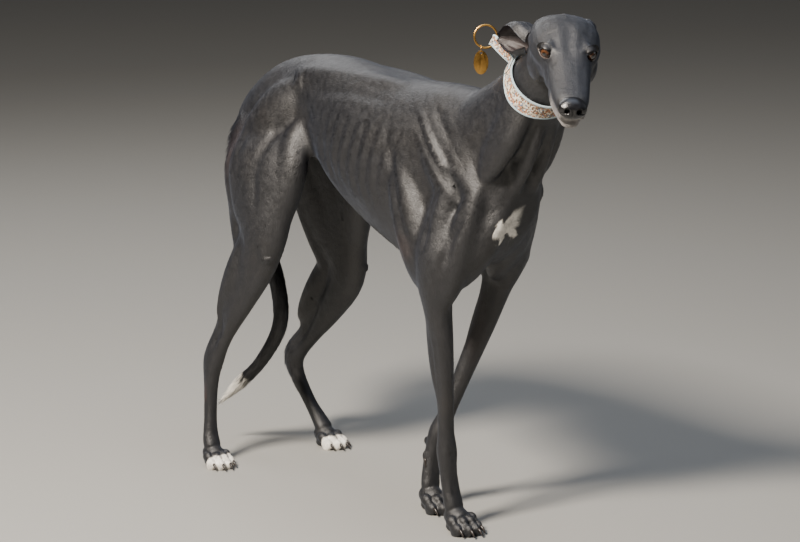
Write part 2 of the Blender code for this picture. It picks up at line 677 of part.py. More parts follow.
# Collar: a webbing band high on the neck, its lifted loop, a ring, and a tag on a small ring
COLLAR_MIDDLE = (0.3790, -0.0170, 0.7780)
COLLAR_AXIS = (0.66, -0.24, 0.70)
BAND_WIDTH = 0.027
BAND_STEPS = 44
BAND_THICK = 0.0022
BAND_EASE = 0.0016      # from the neck to the band
LOOP_WIDTH = 0.018
LOOP_THICK = 0.0018
LOOP_LEAVES = (-42, 14)          # degrees from the nape where the loop leaves the band, right and left
LOOP_LIES = 26                   # degrees of the band that each sewn end of the loop lies along
LOOP_PEEL = 0.0022      # how far each end has lifted off the band where it leaves it
LOOP_BEND = (0.2840, -0.0300, 0.8310)    # middle of the loop's turn round the ring
LOOP_BEND_RADIUS = 0.0076
RING_RADIUS = 0.0185    # to the middle of the wire
RING_WIRE = 0.0018
TAG_RING_RADIUS = 0.0058
TAG_RING_WIRE = 0.0007
TAG_SIZE = (0.0245, 0.0395, 0.0016)      # width, height, thickness
TAG_HOLE_RADIUS = 0.0022
TAG_HOLE_MARGIN = 0.0042     # from the plate's top to the middle of the hole
RING_FACES = (0.76, -0.62, 0.20)     # the way that the ring and the tag face
TAG_SWING = math.radians(24)         # from the ring's lowest point back to where the tag hangs


def torus(name, radius, wire, matrix, around=32, sides=8):
    bpy.ops.mesh.primitive_torus_add(major_radius=radius, minor_radius=wire, major_segments=around,
                                     minor_segments=sides)
    ring = bpy.context.object
    ring.name = name
    ring.data.transform(matrix)
    return ring


def collar_frame():
    """The collar's middle, its axis along the neck, and the directions to the nape and to the dog's left."""
    axis = place(*COLLAR_AXIS).normalized()
    top = (UP - axis * UP.dot(axis)).normalized()
    return place(*COLLAR_MIDDLE), axis, top, top.cross(axis)


def measure_neck(dog):
    """Distances from the collar's axis to the neck's skin, along the band's two edges."""
    surface = BVHTree.FromObject(dog, bpy.context.evaluated_depsgraph_get())
    middle, axis, top, side = collar_frame()
    edges = []
    for edge in (-1, 1):
        start = middle + axis * (edge * BAND_WIDTH / 2)
        radii = []
        for k in range(BAND_STEPS):
            angle = 2 * math.pi * k / BAND_STEPS
            ray = top * math.cos(angle) + side * math.sin(angle)
            radii.append(surface.ray_cast(start, ray, 0.1)[3] or 0.05)
        edges.append(smoothed_ring(radii))
    return edges


def smoothed_ring(values):
    """Values round a ring, each raised to the highest of its neighbours and then evened out."""
    count = len(values)
    near = range(-2, 3)
    high = [max(values[(k + j) % count] for j in near) for k in range(count)]
    return [sum(high[(k + j) % count] for j in near) / len(near) for k in range(count)]


def band_point(edges, degrees, edge, lift):
    """A point at an angle from the nape, lift above the neck, at the band's edge -1, middle 0 or edge 1."""
    middle, axis, top, side = collar_frame()
    angle = math.radians(degrees)
    place_in_ring = (degrees % 360) / 360 * BAND_STEPS
    first = int(place_in_ring) % BAND_STEPS
    part = place_in_ring - int(place_in_ring)
    low, high = (ring[first] * (1 - part) + ring[(first + 1) % BAND_STEPS] * part for ring in edges)
    radius = low + (high - low) * (edge + 1) / 2
    ray = top * math.cos(angle) + side * math.sin(angle)
    return middle + axis * (edge * BAND_WIDTH / 2) + ray * (radius + BAND_EASE + lift)


def strip(name, rings, closed):
    """A strap from rings of four corners."""
    work = bmesh.new()
    rings = [[work.verts.new(point) for point in ring] for ring in rings]
    following = rings[1:] + rings[:1] if closed else rings[1:]
    for low, high in zip(rings, following):
        for i in range(4):
            work.faces.new((low[i], low[(i + 1) % 4], high[(i + 1) % 4], high[i]))
    if not closed:
        work.faces.new(rings[0])
        work.faces.new(rings[-1])
    return mesh_from(name, work)


def make_band(edges):
    """The band follows the neck's own surface."""
    rings = []
    for k in range(BAND_STEPS):
        degrees = 360 * k / BAND_STEPS
        rings.append([band_point(edges, degrees, edge, lift)
                      for edge, lift in ((-1, 0), (1, 0), (1, BAND_THICK), (-1, BAND_THICK))])
    return strip("collar_band", rings, True)


def loop_frame(edges):
    """Where the loop leaves the band, and its directions at the ring: back, far to near, and across."""
    lift = BAND_THICK + LOOP_THICK / 2 + 3 * GAP
    near, far = (band_point(edges, degrees, 0, lift) for degrees in LOOP_LEAVES)
    back = (place(*LOOP_BEND) - (near + far) / 2).normalized()
    normal = place(*RING_FACES).normalized()
    reach = (back - normal * back.dot(normal)).normalized()
    across = normal.cross(reach)
    if across.dot(UP) < 0:
        across = -across
    spread = (near - far) - across * (near - far).dot(across)
    spread = (spread - back * spread.dot(back)).normalized()
    return lift, spread.cross(across) * (1 if spread.cross(across).dot(back) > 0 else -1), spread, across


def make_loop(edges):
    """A strap sewn to the band's right side, up round the ring and back to the band's left side."""
    lift, back, spread, across = loop_frame(edges)
    bend = place(*LOOP_BEND)
    turn = [bend + spread * (LOOP_BEND_RADIUS * math.cos(math.pi * k / 6))
            + back * (LOOP_BEND_RADIUS * math.sin(math.pi * k / 6)) for k in range(7)]
    ends = []
    for sign, degrees in zip((-1, 1), LOOP_LEAVES):
        lies = [band_point(edges, degrees + sign * LOOP_LIES * k / 3, 0, lift + peel)
                for k, peel in ((3, 0), (2, 0), (1, 0), (0, LOOP_PEEL))]
        ends.append(lies)
    rises = [[start.lerp(stop, k / 3) for k in (1, 2)] for start, stop in ((ends[0][-1], turn[0]),
                                                                           (turn[-1], ends[1][-1]))]
    path = ends[0] + rises[0] + turn + rises[1] + ends[1][::-1]
    twist = [0] * 4 + [1 / 3, 2 / 3] + [1] * 7 + [2 / 3, 1 / 3] + [0] * 4
    slopes = [(band_point(edges, degrees, 1, 0) - band_point(edges, degrees, -1, 0)).normalized()
              for degrees in LOOP_LEAVES]
    slopes = [slope if slope.dot(across) > 0 else -slope for slope in slopes]
    rings = []
    for i, (point, part) in enumerate(zip(path, twist)):
        along = (path[min(i + 1, len(path) - 1)] - path[max(i - 1, 0)]).normalized()
        wide = slopes[0 if i < len(path) / 2 else 1].lerp(across, part)
        wide = (wide - along * wide.dot(along)).normalized()
        flat = wide.cross(along) * (LOOP_THICK / 2)
        wide = wide * (LOOP_WIDTH / 2)
        rings.append((point + wide + flat, point + wide - flat, point - wide - flat, point - wide + flat))
    return strip("collar_loop", rings, False)


def make_hardware(edges):
    """The ring in the loop's turn, the small ring on it and the oval tag."""
    back = loop_frame(edges)[1]
    normal = place(*RING_FACES).normalized()
    reach = (back - normal * back.dot(normal)).normalized()
    middle = place(*LOOP_BEND) + reach * RING_RADIUS
    frame = Matrix((reach, normal.cross(reach), normal)).transposed().to_4x4()
    ring = torus("collar_ring", RING_RADIUS, RING_WIRE, Matrix.Translation(middle) @ frame, 28, 8)
    down = (normal * UP.dot(normal) - UP).normalized()
    behind = (reach - down * reach.dot(down)).normalized()
    low = middle + (down * math.cos(TAG_SWING) + behind * math.sin(TAG_SWING)) * RING_RADIUS
    play = RING_WIRE + TAG_RING_WIRE + GAP
    hang = low - UP * (TAG_RING_RADIUS - play)
    flat = (normal - UP * normal.dot(UP)).normalized()
    frame = Matrix((UP, flat, UP.cross(flat))).transposed().to_4x4()
    small = torus("tag_ring", TAG_RING_RADIUS, TAG_RING_WIRE, Matrix.Translation(hang) @ frame, 18, 6)
    return [ring, small, make_tag(hang, flat)]


def make_tag(hang, facing):
    """A plain oval plate with a hole near its top, which the small ring passes through."""
    width, height, thick = TAG_SIZE
    drop = TAG_RING_RADIUS - TAG_RING_WIRE - GAP + TAG_HOLE_RADIUS
    hole = hang - UP * drop
    middle = hole - UP * (height / 2 - TAG_HOLE_MARGIN)
    turn = Matrix((UP.cross(facing), UP, facing)).transposed().to_4x4()
    plates = []
    for name, centre, sizes, segments in (("tag", middle, (width / 2, height / 2, thick / 2), 36),
                                          ("tag_hole", hole, (TAG_HOLE_RADIUS, TAG_HOLE_RADIUS, thick), 14)):
        work = bmesh.new()
        bmesh.ops.create_cone(work, cap_ends=True, segments=segments, radius1=1, radius2=1, depth=2,
                              matrix=Matrix.Translation(centre) @ turn @ Matrix.Diagonal((*sizes, 1)))
        plates.append(mesh_from(name, work))
    boolean(plates[0], plates[1:])
    return plates[0]


# Colour, roughness and metalness of each kind of surface
COAT = (0.012, 0.012, 0.015)
FINISHES = {
    "eye": ((0.30, 0.10, 0.02), 0.05, 0.0),
    "ear": (COAT, 0.45, 0.0),
    "collar_ring": ((0.62, 0.47, 0.22), 0.25, 1.0),
    "collar": ((0.55, 0.45, 0.36), 0.85, 0.0),
    "tag": ((0.62, 0.44, 0.20), 0.30, 1.0),
}


def finish(node):
    """The node's own material."""
    look = next((FINISHES[key] for key in FINISHES if node.name.startswith(key)), (COAT, 0.40, 0.0))
    material = bpy.data.materials.new(node.name)
    material.use_nodes = True
    shader = material.node_tree.nodes["Principled BSDF"]
    shader.inputs["Base Color"].default_value = (*look[0], 1)
    shader.inputs["Roughness"].default_value = look[1]
    shader.inputs["Metallic"].default_value = look[2]
    node.data.materials.clear()
    node.data.materials.append(material)
    node.data.shade_smooth()
    node.data.set_sharp_from_angle(angle=math.radians(50))


def stand_on_origin(nodes):
    """Full size, and the middle of the dog's box over the origin."""
    size = Matrix.Scale(WITHERS / DRAWN_WITHERS, 4)
    points = np.array([vertex.co[:] for node in nodes for vertex in node.data.vertices])
    middle = (points.min(axis=0) + points.max(axis=0)) / 2
    shift = Matrix.Translation((-middle[0], -middle[1], 0))
    for node in nodes:
        node.data.transform(size @ shift)
    print("moved by", [round(float(value), 5) for value in -middle[:2]])


def main():
    clear_scene()
    body = fused("body", make_body_pieces(), BODY_VOXEL, BODY_SMOOTHING)
    paws = [piece for name in PAWS for piece in make_paw(name)]
    dog = fused("dog", [body] + paws + make_head_pieces(), FINE_VOXEL, FINE_SMOOTHING)
    thin = dog.modifiers.new("thin", "DECIMATE")
    thin.ratio = TRIANGLES / (2 * len(dog.data.polygons))
    applied(dog)
    flatten_soles(dog)
    boolean(dog, make_head_cutters())
    dog = keep_largest(dog)
    ears = [make_ear(name) for name in EARS]
    for i, ear in enumerate(ears):
        boolean(ear, [grown(dog, GAP)])
        ears[i] = keep_largest(ear)
    neck_radii = measure_neck(dog)
    nodes = part_body(dog) + ears + make_eyes()
    nodes += [make_band(neck_radii), make_loop(neck_radii)] + make_hardware(neck_radii)
    stand_on_origin(nodes)
    home = bpy.data.collections.new("greyhound")
    bpy.context.scene.collection.children.link(home)
    for node in nodes:
        for old in list(node.users_collection):
            old.objects.unlink(node)
        home.objects.link(node)
        finish(node)
    print("nodes", len(nodes), "triangles", sum(len(p.vertices) - 2 for n in nodes for p in n.data.polygons))


main()
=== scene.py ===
# %% [markdown]
# # A greyhound, life size, as a museum shows it
#
# The dog stands square on three legs, with its left forepaw a little behind and its left hind leg stepped back,
# and looks round to its right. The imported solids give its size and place. This script dresses them: one skin in
# place of the cut flesh, a short black coat, eyes, lids, nose, claws, and the collar with its ring and tag.
#
# Lengths are metres, +Z is up, the dog's forward is -Y and its left is +X.

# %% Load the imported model
import math

import bmesh
import bpy
import numpy as np
from mathutils import Matrix, Vector
from mathutils.bvhtree import BVHTree


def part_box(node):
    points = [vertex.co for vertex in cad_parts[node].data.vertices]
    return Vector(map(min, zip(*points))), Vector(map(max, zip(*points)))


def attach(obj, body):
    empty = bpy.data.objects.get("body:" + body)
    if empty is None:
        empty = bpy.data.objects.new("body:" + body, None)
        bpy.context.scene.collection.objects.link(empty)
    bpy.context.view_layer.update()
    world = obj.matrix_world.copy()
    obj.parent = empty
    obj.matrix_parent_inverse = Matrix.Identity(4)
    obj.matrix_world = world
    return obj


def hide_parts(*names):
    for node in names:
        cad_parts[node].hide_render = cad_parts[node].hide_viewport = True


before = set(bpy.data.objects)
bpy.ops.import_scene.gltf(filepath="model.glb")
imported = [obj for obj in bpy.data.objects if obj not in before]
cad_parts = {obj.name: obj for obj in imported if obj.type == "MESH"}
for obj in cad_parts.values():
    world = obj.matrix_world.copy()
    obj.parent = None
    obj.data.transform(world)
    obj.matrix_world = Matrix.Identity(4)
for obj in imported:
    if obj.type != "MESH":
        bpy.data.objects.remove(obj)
bpy.context.view_layer.update()

# %% [markdown]
# Colours are written as the hex values that a paint chart or a photo would give, and one function turns them to
# the linear values that the renderer works in. Another adds one node to a material, with its settings and links,
# so that each finish below reads as a list of what it is made of.

# %% Colours and material nodes


def linear(hex_colour, alpha=1.0):
    """A hex colour as linear red, green, blue and alpha."""
    parts = [int(hex_colour[i:i + 2], 16) / 255 for i in (1, 3, 5)]
    return tuple(p / 12.92 if p <= 0.04045 else ((p + 0.055) / 1.055) ** 2.4 for p in parts) + (alpha,)


def add_node(material, kind, links=None, values=None, **settings):
    """A node of a kind. Links name an input and the output it reads, and values set the other inputs."""
    tree = material.node_tree
    node = tree.nodes.new(kind)
    for name, value in settings.items():
        setattr(node, name, value)
    for name, value in (values or {}).items():
        node.inputs[name].default_value = value
    for name, output in (links or {}).items():
        tree.links.new(output, node.inputs[name])
    return node


def new_material(name):
    """A material with its shader, ready for nodes."""
    material = bpy.data.materials.new(name)
    material.use_nodes = True
    return material, material.node_tree.nodes["Principled BSDF"]


def join(material, output, node, name):
    material.node_tree.links.new(output, node.inputs[name])


def set_ramp(node, stops):
    """Colour stops of a ramp: place and hex colour, or place and grey value."""
    elements = node.color_ramp.elements
    while len(elements) < len(stops):
        elements.new(0.5)
    for element, (at, colour) in zip(elements, stops):
        element.position = at
        element.color = linear(colour) if isinstance(colour, str) else (colour, colour, colour, 1)
    return node


# %% [markdown]
# An operator works on whatever is selected, and loading leaves every solid selected. So everything is deselected
# before each piece, and one piece is made active.

# %% Selecting and applying, as by hand


def alone(*objects):
    """Only these objects are selected, and the first is active."""
    bpy.ops.object.select_all(action="DESELECT")
    for obj in objects:
        obj.select_set(True)
    bpy.context.view_layer.objects.active = objects[0]
    return objects[0]


def apply_modifiers(obj):
    alone(obj)
    for modifier in list(obj.modifiers):
        bpy.ops.object.modifier_apply(modifier=modifier.name)
    return obj


def add_modifier(obj, kind, **settings):
    modifier = obj.modifiers.new(kind.lower(), kind)
    for name, value in settings.items():
        setattr(modifier, name, value)
    return modifier


def settle(obj):
    """The piece's place goes into its mesh, and its object sits at the origin."""
    alone(obj)
    bpy.ops.object.transform_apply(location=True, rotation=True, scale=True)
    return obj


def points_of(obj):
    points = np.empty(len(obj.data.vertices) * 3)
    obj.data.vertices.foreach_get("co", points)
    return points.reshape(-1, 3)


def normals_of(obj):
    normals = np.empty(len(obj.data.vertices) * 3)
    obj.data.vertices.foreach_get("normal", normals)
    return normals.reshape(-1, 3)


def set_points(obj, points):
    obj.data.vertices.foreach_set("co", np.ascontiguousarray(points, dtype=float).ravel())
    obj.data.update()


def triangle_count(obj):
    return sum(len(face.vertices) - 2 for face in obj.data.polygons)


def finish_piece(obj, material, slot, *nodes, smooth=True):
    """Material, body, and the solids that the piece stands for. The slot argument is not used."""
    obj.data.materials.clear()
    obj.data.materials.append(material)
    if smooth:
        obj.data.shade_smooth()
    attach(obj, "root")
    if nodes:
        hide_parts(*nodes)
    print(obj.name, triangle_count(obj), "triangles")
    return obj


# %% [markdown]
# The dog is drawn in its own frame first: distances ahead, to its left and up, from a point on the floor between
# its legs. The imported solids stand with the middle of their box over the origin, and the two eyes tell how far
# apart the two frames are. Every piece is made in the dog's own frame and then moved by that one shift.
#
# A trunk, neck or leg is a loft: rings round a centre line, each with its own radii. A muscle is a spindle.
# Modellers would place them as metaballs or clay; rings and spindles keep their real sizes in view.

# %% Rings, spindles and round forms
FORWARD = Vector((0, -1, 0))
LEFT = Vector((1, 0, 0))
UP = Vector((0, 0, 1))


def place(forward, left, up):
    """A point from distances along the dog's own directions."""
    return Vector((left, -forward, up))


def new_object(name, mesh):
    obj = bpy.data.objects.new(name, mesh)
    bpy.context.scene.collection.objects.link(obj)
    return obj


def mesh_from(name, work):
    """A mesh object from a bmesh, which is freed."""
    bmesh.ops.recalc_face_normals(work, faces=work.faces)
    mesh = bpy.data.meshes.new(name)
    work.to_mesh(mesh)
    work.free()
    return new_object(name, mesh)


def smooth_rows(rows, steps):
    """Rows of numbers made finer by a Catmull-Rom curve through them."""
    rows = np.array(rows, float)
    padded = np.vstack([2 * rows[0] - rows[1], rows, 2 * rows[-1] - rows[-2]])
    fine = []
    for i in range(1, len(rows)):
        a, b, c, d = padded[i - 1:i + 3]
        for k in range(steps):
            t = k / steps
            fine.append(0.5 * (2 * b + (c - a) * t + (2 * a - 5 * b + 4 * c - d) * t * t
                               + (3 * b - a - 3 * c + d) * t ** 3))
    fine.append(rows[-1])
    return np.array(fine)


def signed_power(value, power):
    return math.copysign(abs(value) ** power, value)


def loft(name, stations, front, around=20, steps=4):
    """A closed tube. A station is (forward, left, up, side, front, back, squareness), where side, front and
    back are the radii across the path, and squareness is 2 for an ellipse."""
    rows = smooth_rows(stations, steps)
    centres = [place(*row[:3]) for row in rows]
    work = bmesh.new()
    rings = []
    for i, row in enumerate(rows):
        along = (centres[min(i + 1, len(rows) - 1)] - centres[max(i - 1, 0)]).normalized()
        ahead = (front - along * front.dot(along)).normalized()
        side = ahead.cross(along)
        ring = []
        for k in range(around):
            angle = 2 * math.pi * k / around
            across = row[3] * signed_power(math.cos(angle), 2 / row[6])
            depth = signed_power(math.sin(angle), 2 / row[6])
            depth *= row[4] if depth > 0 else row[5]
            ring.append(work.verts.new(centres[i] + side * across + ahead * depth))
        rings.append(ring)
    for low, high in zip(rings, rings[1:]):
        for k in range(around):
            nxt = (k + 1) % around
            work.faces.new((low[k], low[nxt], high[nxt], high[k]))
    for ring in (rings[0], rings[-1]):
        work.faces.new(ring)
    return mesh_from(name, work)


def muscle(name, start, end, width, depth, facing=LEFT, segments=16):
    """A spindle-shaped muscle belly from start to end. Depth is measured along facing, width across it."""
    start, end = place(*start), place(*end)
    along = (end - start).normalized()
    out = (facing - along * facing.dot(along)).normalized()
    turn = Matrix((along.cross(out), out, along)).transposed().to_4x4()
    size = Matrix.Diagonal((width / 2, depth / 2, (end - start).length / 2, 1))
    work = bmesh.new()
    bmesh.ops.create_uvsphere(work, u_segments=segments, v_segments=12, radius=1,
                              matrix=Matrix.Translation((start + end) / 2) @ turn @ size)
    return mesh_from(name, work)


def blob(name, centre, size):
    """An ellipsoid about a centre, in its own forward, left and up directions."""
    work = bmesh.new()
    turn = Matrix.Translation(place(*centre)) @ Matrix.Diagonal((size[1] / 2, size[0] / 2, size[2] / 2, 1))
    bmesh.ops.create_uvsphere(work, u_segments=14, v_segments=10, radius=1, matrix=turn)
    return mesh_from(name, work)


# %% [markdown]
# The trunk is deep at the chest and tucked up at the loin, as in all sighthounds. Its sizes are read down the
# back: how far ahead, how high its widest level is, its half width there, and how far it reaches up and down.

# %% Trunk, neck, legs and tail
# Trunk: forward, height of the widest level, half width, up to the back, down to the underline
TRUNK = (
    (0.325, 0.560, 0.030, 0.045, 0.045),
    (0.305, 0.565, 0.052, 0.085, 0.090),
    (0.270, 0.575, 0.066, 0.130, 0.135),
    (0.220, 0.590, 0.074, 0.150, 0.165),
    (0.150, 0.600, 0.080, 0.146, 0.184),
    (0.080, 0.605, 0.086, 0.138, 0.182),
    (0.000, 0.610, 0.090, 0.132, 0.152),
    (-0.080, 0.625, 0.086, 0.128, 0.122),
    (-0.150, 0.645, 0.074, 0.116, 0.094),
    (-0.220, 0.655, 0.062, 0.100, 0.085),
    (-0.290, 0.650, 0.060, 0.087, 0.080),
    (-0.350, 0.630, 0.056, 0.070, 0.080),
    (-0.400, 0.600, 0.046, 0.052, 0.070),
    (-0.425, 0.585, 0.030, 0.026, 0.045),
)

# Neck: forward, left, up, side radius, throat radius, nape radius, squareness
NECK = (
    (0.120, 0.000, 0.600, 0.040, 0.060, 0.060, 2),
    (0.160, 0.000, 0.618, 0.064, 0.094, 0.084, 2),
    (0.225, 0.000, 0.652, 0.066, 0.104, 0.088, 2),
    (0.290, -0.004, 0.698, 0.060, 0.084, 0.074, 2),
    (0.345, -0.010, 0.742, 0.055, 0.068, 0.062, 2),
    (0.380, -0.016, 0.775, 0.052, 0.060, 0.054, 2),
    (0.412, -0.022, 0.810, 0.049, 0.055, 0.047, 2),
    (0.438, -0.026, 0.842, 0.045, 0.048, 0.038, 2),
    (0.455, -0.030, 0.860, 0.038, 0.040, 0.026, 2),
)

# Section sizes down a leg: side radius, front radius, back radius, squareness
FORE_SIZES = (
    (0.010, 0.036, 0.036, 2), (0.030, 0.052, 0.055, 2), (0.027, 0.036, 0.042, 2), (0.023, 0.028, 0.032, 2),
    (0.019, 0.024, 0.024, 2), (0.0155, 0.019, 0.018, 2), (0.015, 0.017, 0.016, 2), (0.0185, 0.020, 0.020, 2.2),
    (0.0165, 0.016, 0.017, 2.2), (0.018, 0.015, 0.016, 2.2), (0.019, 0.014, 0.018, 2.2),
)
HIND_SIZES = (
    (0.010, 0.050, 0.036, 2), (0.036, 0.100, 0.090, 2.1), (0.036, 0.095, 0.088, 2.1), (0.032, 0.066, 0.052, 2),
    (0.026, 0.050, 0.033, 2), (0.019, 0.034, 0.021, 2), (0.0135, 0.023, 0.029, 2), (0.0155, 0.022, 0.030, 2.2),
    (0.014, 0.016, 0.018, 2.2), (0.0135, 0.013, 0.014, 2.2), (0.0165, 0.014, 0.015, 2.2),
    (0.018, 0.014, 0.017, 2.2),
)

# Centre lines of the four legs, from the body down to the paw: forward, left, up
LEG_PATHS = {
    "fore_right": (
        (0.195, -0.068, 0.560), (0.205, -0.080, 0.480), (0.200, -0.084, 0.420), (0.200, -0.080, 0.380),
        (0.205, -0.076, 0.320), (0.207, -0.071, 0.240), (0.205, -0.067, 0.170), (0.205, -0.065, 0.135),
        (0.208, -0.064, 0.100), (0.216, -0.063, 0.060), (0.226, -0.063, 0.034),
    ),
    "fore_left": (
        (0.195, 0.068, 0.560), (0.195, 0.080, 0.480), (0.175, 0.080, 0.420), (0.166, 0.073, 0.380),
        (0.152, 0.058, 0.320), (0.130, 0.036, 0.240), (0.110, 0.016, 0.170), (0.100, 0.006, 0.135),
        (0.094, -0.001, 0.100), (0.094, -0.008, 0.060), (0.100, -0.012, 0.034),
    ),
    "hind_right": (
        (-0.320, -0.055, 0.640), (-0.300, -0.075, 0.570), (-0.280, -0.088, 0.500), (-0.265, -0.098, 0.440),
        (-0.280, -0.104, 0.380), (-0.316, -0.110, 0.310), (-0.356, -0.118, 0.240), (-0.378, -0.124, 0.190),
        (-0.383, -0.128, 0.150), (-0.380, -0.133, 0.090), (-0.374, -0.137, 0.050), (-0.364, -0.139, 0.030),
    ),
    "hind_left": (
        (-0.320, 0.055, 0.630), (-0.305, 0.075, 0.560), (-0.290, 0.088, 0.480), (-0.284, 0.096, 0.400),
        (-0.282, 0.100, 0.335), (-0.328, 0.100, 0.266), (-0.388, 0.097, 0.200), (-0.426, 0.094, 0.155),
        (-0.418, 0.095, 0.120), (-0.385, 0.098, 0.075), (-0.357, 0.100, 0.045), (-0.343, 0.101, 0.030),
    ),
}

# Tail: forward, left, up, radius
TAIL = (
    (-0.370, 0.000, 0.620, 0.026), (-0.428, 0.002, 0.608, 0.024), (-0.465, 0.006, 0.558, 0.0215),
    (-0.458, 0.010, 0.480, 0.0190), (-0.418, 0.012, 0.400, 0.0175), (-0.374, 0.014, 0.320, 0.0165),
    (-0.362, 0.012, 0.240, 0.0155),
    (-0.400, -0.004, 0.165, 0.0135), (-0.445, -0.024, 0.115, 0.0115), (-0.478, -0.040, 0.078, 0.004),
)


def make_trunk():
    stations = [(f, 0, z, half, up, down, 2.15) for f, z, half, up, down in TRUNK]
    return loft("trunk", stations, UP, around=28)


def make_leg(name):
    sizes = FORE_SIZES if name.startswith("fore") else HIND_SIZES
    return loft(name, [point + size for point, size in zip(LEG_PATHS[name], sizes)], FORWARD)


def make_tail():
    return loft("tail_core", [(f, l, z, r, r, r, 2) for f, l, z, r in TAIL], FORWARD, around=16)


def side_muscles(side, fore, hind):
    """Muscles of one side. Side is 1 for the left; fore and hind are the leg paths of that side."""
    def at(forward, left, up):
        return (forward, side * left, up)

    def near(point, forward, left, up):
        """A point beside a leg's centre line, with left meaning outwards."""
        return (point[0] + forward, point[1] + side * left, point[2] + up)

    out = LEFT * side
    elbow, forearm, wrist = fore[3], fore[5], fore[6]
    thigh, stifle, shank, ankle = hind[2], hind[4], hind[5], hind[7]
    plan = (
        # name, start, end, width, depth
        ("blade_front", at(0.140, 0.036, 0.728), at(0.292, 0.070, 0.560), 0.062, 0.040),
        ("blade_rear", at(0.095, 0.048, 0.705), at(0.240, 0.078, 0.560), 0.062, 0.042),
        ("triceps_long", at(0.075, 0.066, 0.640), near(elbow, -0.030, 0.004, 0.022), 0.086, 0.052),
        ("triceps_side", at(0.215, 0.068, 0.612), near(elbow, -0.012, 0.008, 0.000), 0.066, 0.050),
        ("upper_arm", at(0.286, 0.058, 0.615), near(elbow, 0.018, 0.004, 0.000), 0.058, 0.052),
        ("breast", at(0.318, 0.026, 0.575), near(elbow, 0.012, -0.020, 0.030), 0.062, 0.060),
        ("extensor", near(elbow, 0.016, 0.006, 0.030), near(wrist, 0.002, 0.002, 0.030), 0.030, 0.026),
        ("flexor", near(elbow, -0.022, 0.003, 0.020), near(forearm, -0.010, 0.002, -0.030), 0.028, 0.026),
        ("neck_strap", (0.405, -0.022 + side * 0.030, 0.790), at(0.285, 0.060, 0.600), 0.070, 0.036),
        ("throat_strap", (0.405, -0.020 + side * 0.012, 0.752), at(0.312, 0.020, 0.575), 0.050, 0.026),
        ("back", at(0.100, 0.024, 0.722), at(-0.245, 0.030, 0.722), 0.050, 0.052),
        ("loin", at(-0.040, 0.034, 0.722), at(-0.260, 0.036, 0.714), 0.058, 0.046),
        ("gluteal", at(-0.205, 0.042, 0.708), at(-0.345, 0.076, 0.575), 0.098, 0.056),
        ("croup", at(-0.250, 0.026, 0.708), at(-0.400, 0.036, 0.610), 0.060, 0.050),
        ("thigh_rear", at(-0.385, 0.046, 0.635), near(stifle, 0.006, -0.002, 0.000), 0.112, 0.062),
        ("ham", at(-0.406, 0.048, 0.620), near(shank, 0.016, -0.002, 0.045), 0.054, 0.054),
        ("thigh_front", at(-0.195, 0.058, 0.650), near(stifle, 0.030, -0.002, 0.030), 0.086, 0.058),
        ("groin", near(thigh, 0.070, -0.010, 0.090), near(stifle, 0.035, -0.010, 0.060), 0.030, 0.022),
        ("calf", near(stifle, -0.006, 0.002, 0.070), near(ankle, 0.014, -0.002, 0.070), 0.048, 0.044),
        ("shin", near(stifle, 0.030, 0.002, 0.040), near(ankle, 0.022, 0.000, 0.030), 0.030, 0.030),
        ("heel_cord", near(shank, -0.030, 0.000, 0.020), near(ankle, -0.024, 0.000, -0.006), 0.016, 0.013),
    )
    return [muscle(name, start, end, width, depth, out) for name, start, end, width, depth in plan]


SHEATH = ((-0.215, 0.0, 0.560), (-0.110, 0.0, 0.520), 0.030, 0.034)


def make_body_pieces():
    pieces = [make_trunk(), loft("neck_core", NECK, FORWARD - UP, around=24), make_tail()]
    pieces += [make_leg(name) for name in LEG_PATHS]
    pieces += side_muscles(-1, LEG_PATHS["fore_right"], LEG_PATHS["hind_right"])
    pieces += side_muscles(1, LEG_PATHS["fore_left"], LEG_PATHS["hind_left"])
    pieces.append(muscle("sheath", *SHEATH))
    return pieces

# %% [markdown]
# A dog's paw is four toes round one pad, the middle two longer. Each toe is a knuckle, a toe end and a pad. The
# claws are horn, so they are pieces of their own, made further on.

# %% Paws
# Paws: place of the pad's middle (forward, left), turn outwards in degrees, and scale
PAWS = {
    "fore_right": (0.232, -0.063, 4, 1.0),
    "fore_left": (0.106, -0.014, -4, 1.0),
    "hind_right": (-0.362, -0.139, 6, 0.92),
    "hind_left": (-0.341, 0.101, 6, 0.92),
}
# Toes: across, reach ahead of the pad's middle
TOES = ((-0.0215, 0.024), (-0.0078, 0.036), (0.0078, 0.036), (0.0215, 0.024))
SOLE_SINK = 0.0015      # how far the pads reach under the floor before they are cut flat


def make_paw(name):
    """Four knuckled toes round a pad; the claws are made apart."""
    forward, left, turn, scale = PAWS[name]
    side = 1 if name.endswith("left") else -1
    pieces = [
        blob("instep", (-0.004, 0, 0.026), (0.052, 0.040, 0.036)),
        blob("pad", (-0.006, 0, 0.0085), (0.036, 0.034, 0.020)),
    ]
    for across, reach in TOES:
        pieces += [
            blob("knuckle", (reach - 0.014, across * 0.96, 0.0235), (0.026, 0.0165, 0.021)),
            blob("toe", (reach, across, 0.0125), (0.030, 0.0155, 0.023)),
            blob("toe_pad", (reach - 0.001, across, 0.005), (0.022, 0.0130, 0.013)),
        ]
    turned = Matrix.Rotation(math.radians(turn * side), 4, "Z") @ Matrix.Scale(scale, 4)
    moved = Matrix.Translation(place(forward, left, -SOLE_SINK)) @ turned
    for piece in pieces:
        piece.data.transform(moved)
    if name.startswith("fore"):
        wrist = LEG_PATHS[name][8]
        inner = -side
        root = (wrist[0] - 0.006, wrist[1] + inner * 0.014, wrist[2] - 0.008)
        pieces += [
            blob("dewclaw_toe", root, (0.014, 0.012, 0.020)),
            blob("wrist_pad", (wrist[0] - 0.018, wrist[1], wrist[2] + 0.014), (0.014, 0.014, 0.018)),
        ]
    return pieces

# %% [markdown]
# The head of this dog is long and narrow, with hardly a stop. It is drawn straight, from the back of the skull to
# the nose, and one matrix then turns it to the right and tips it.

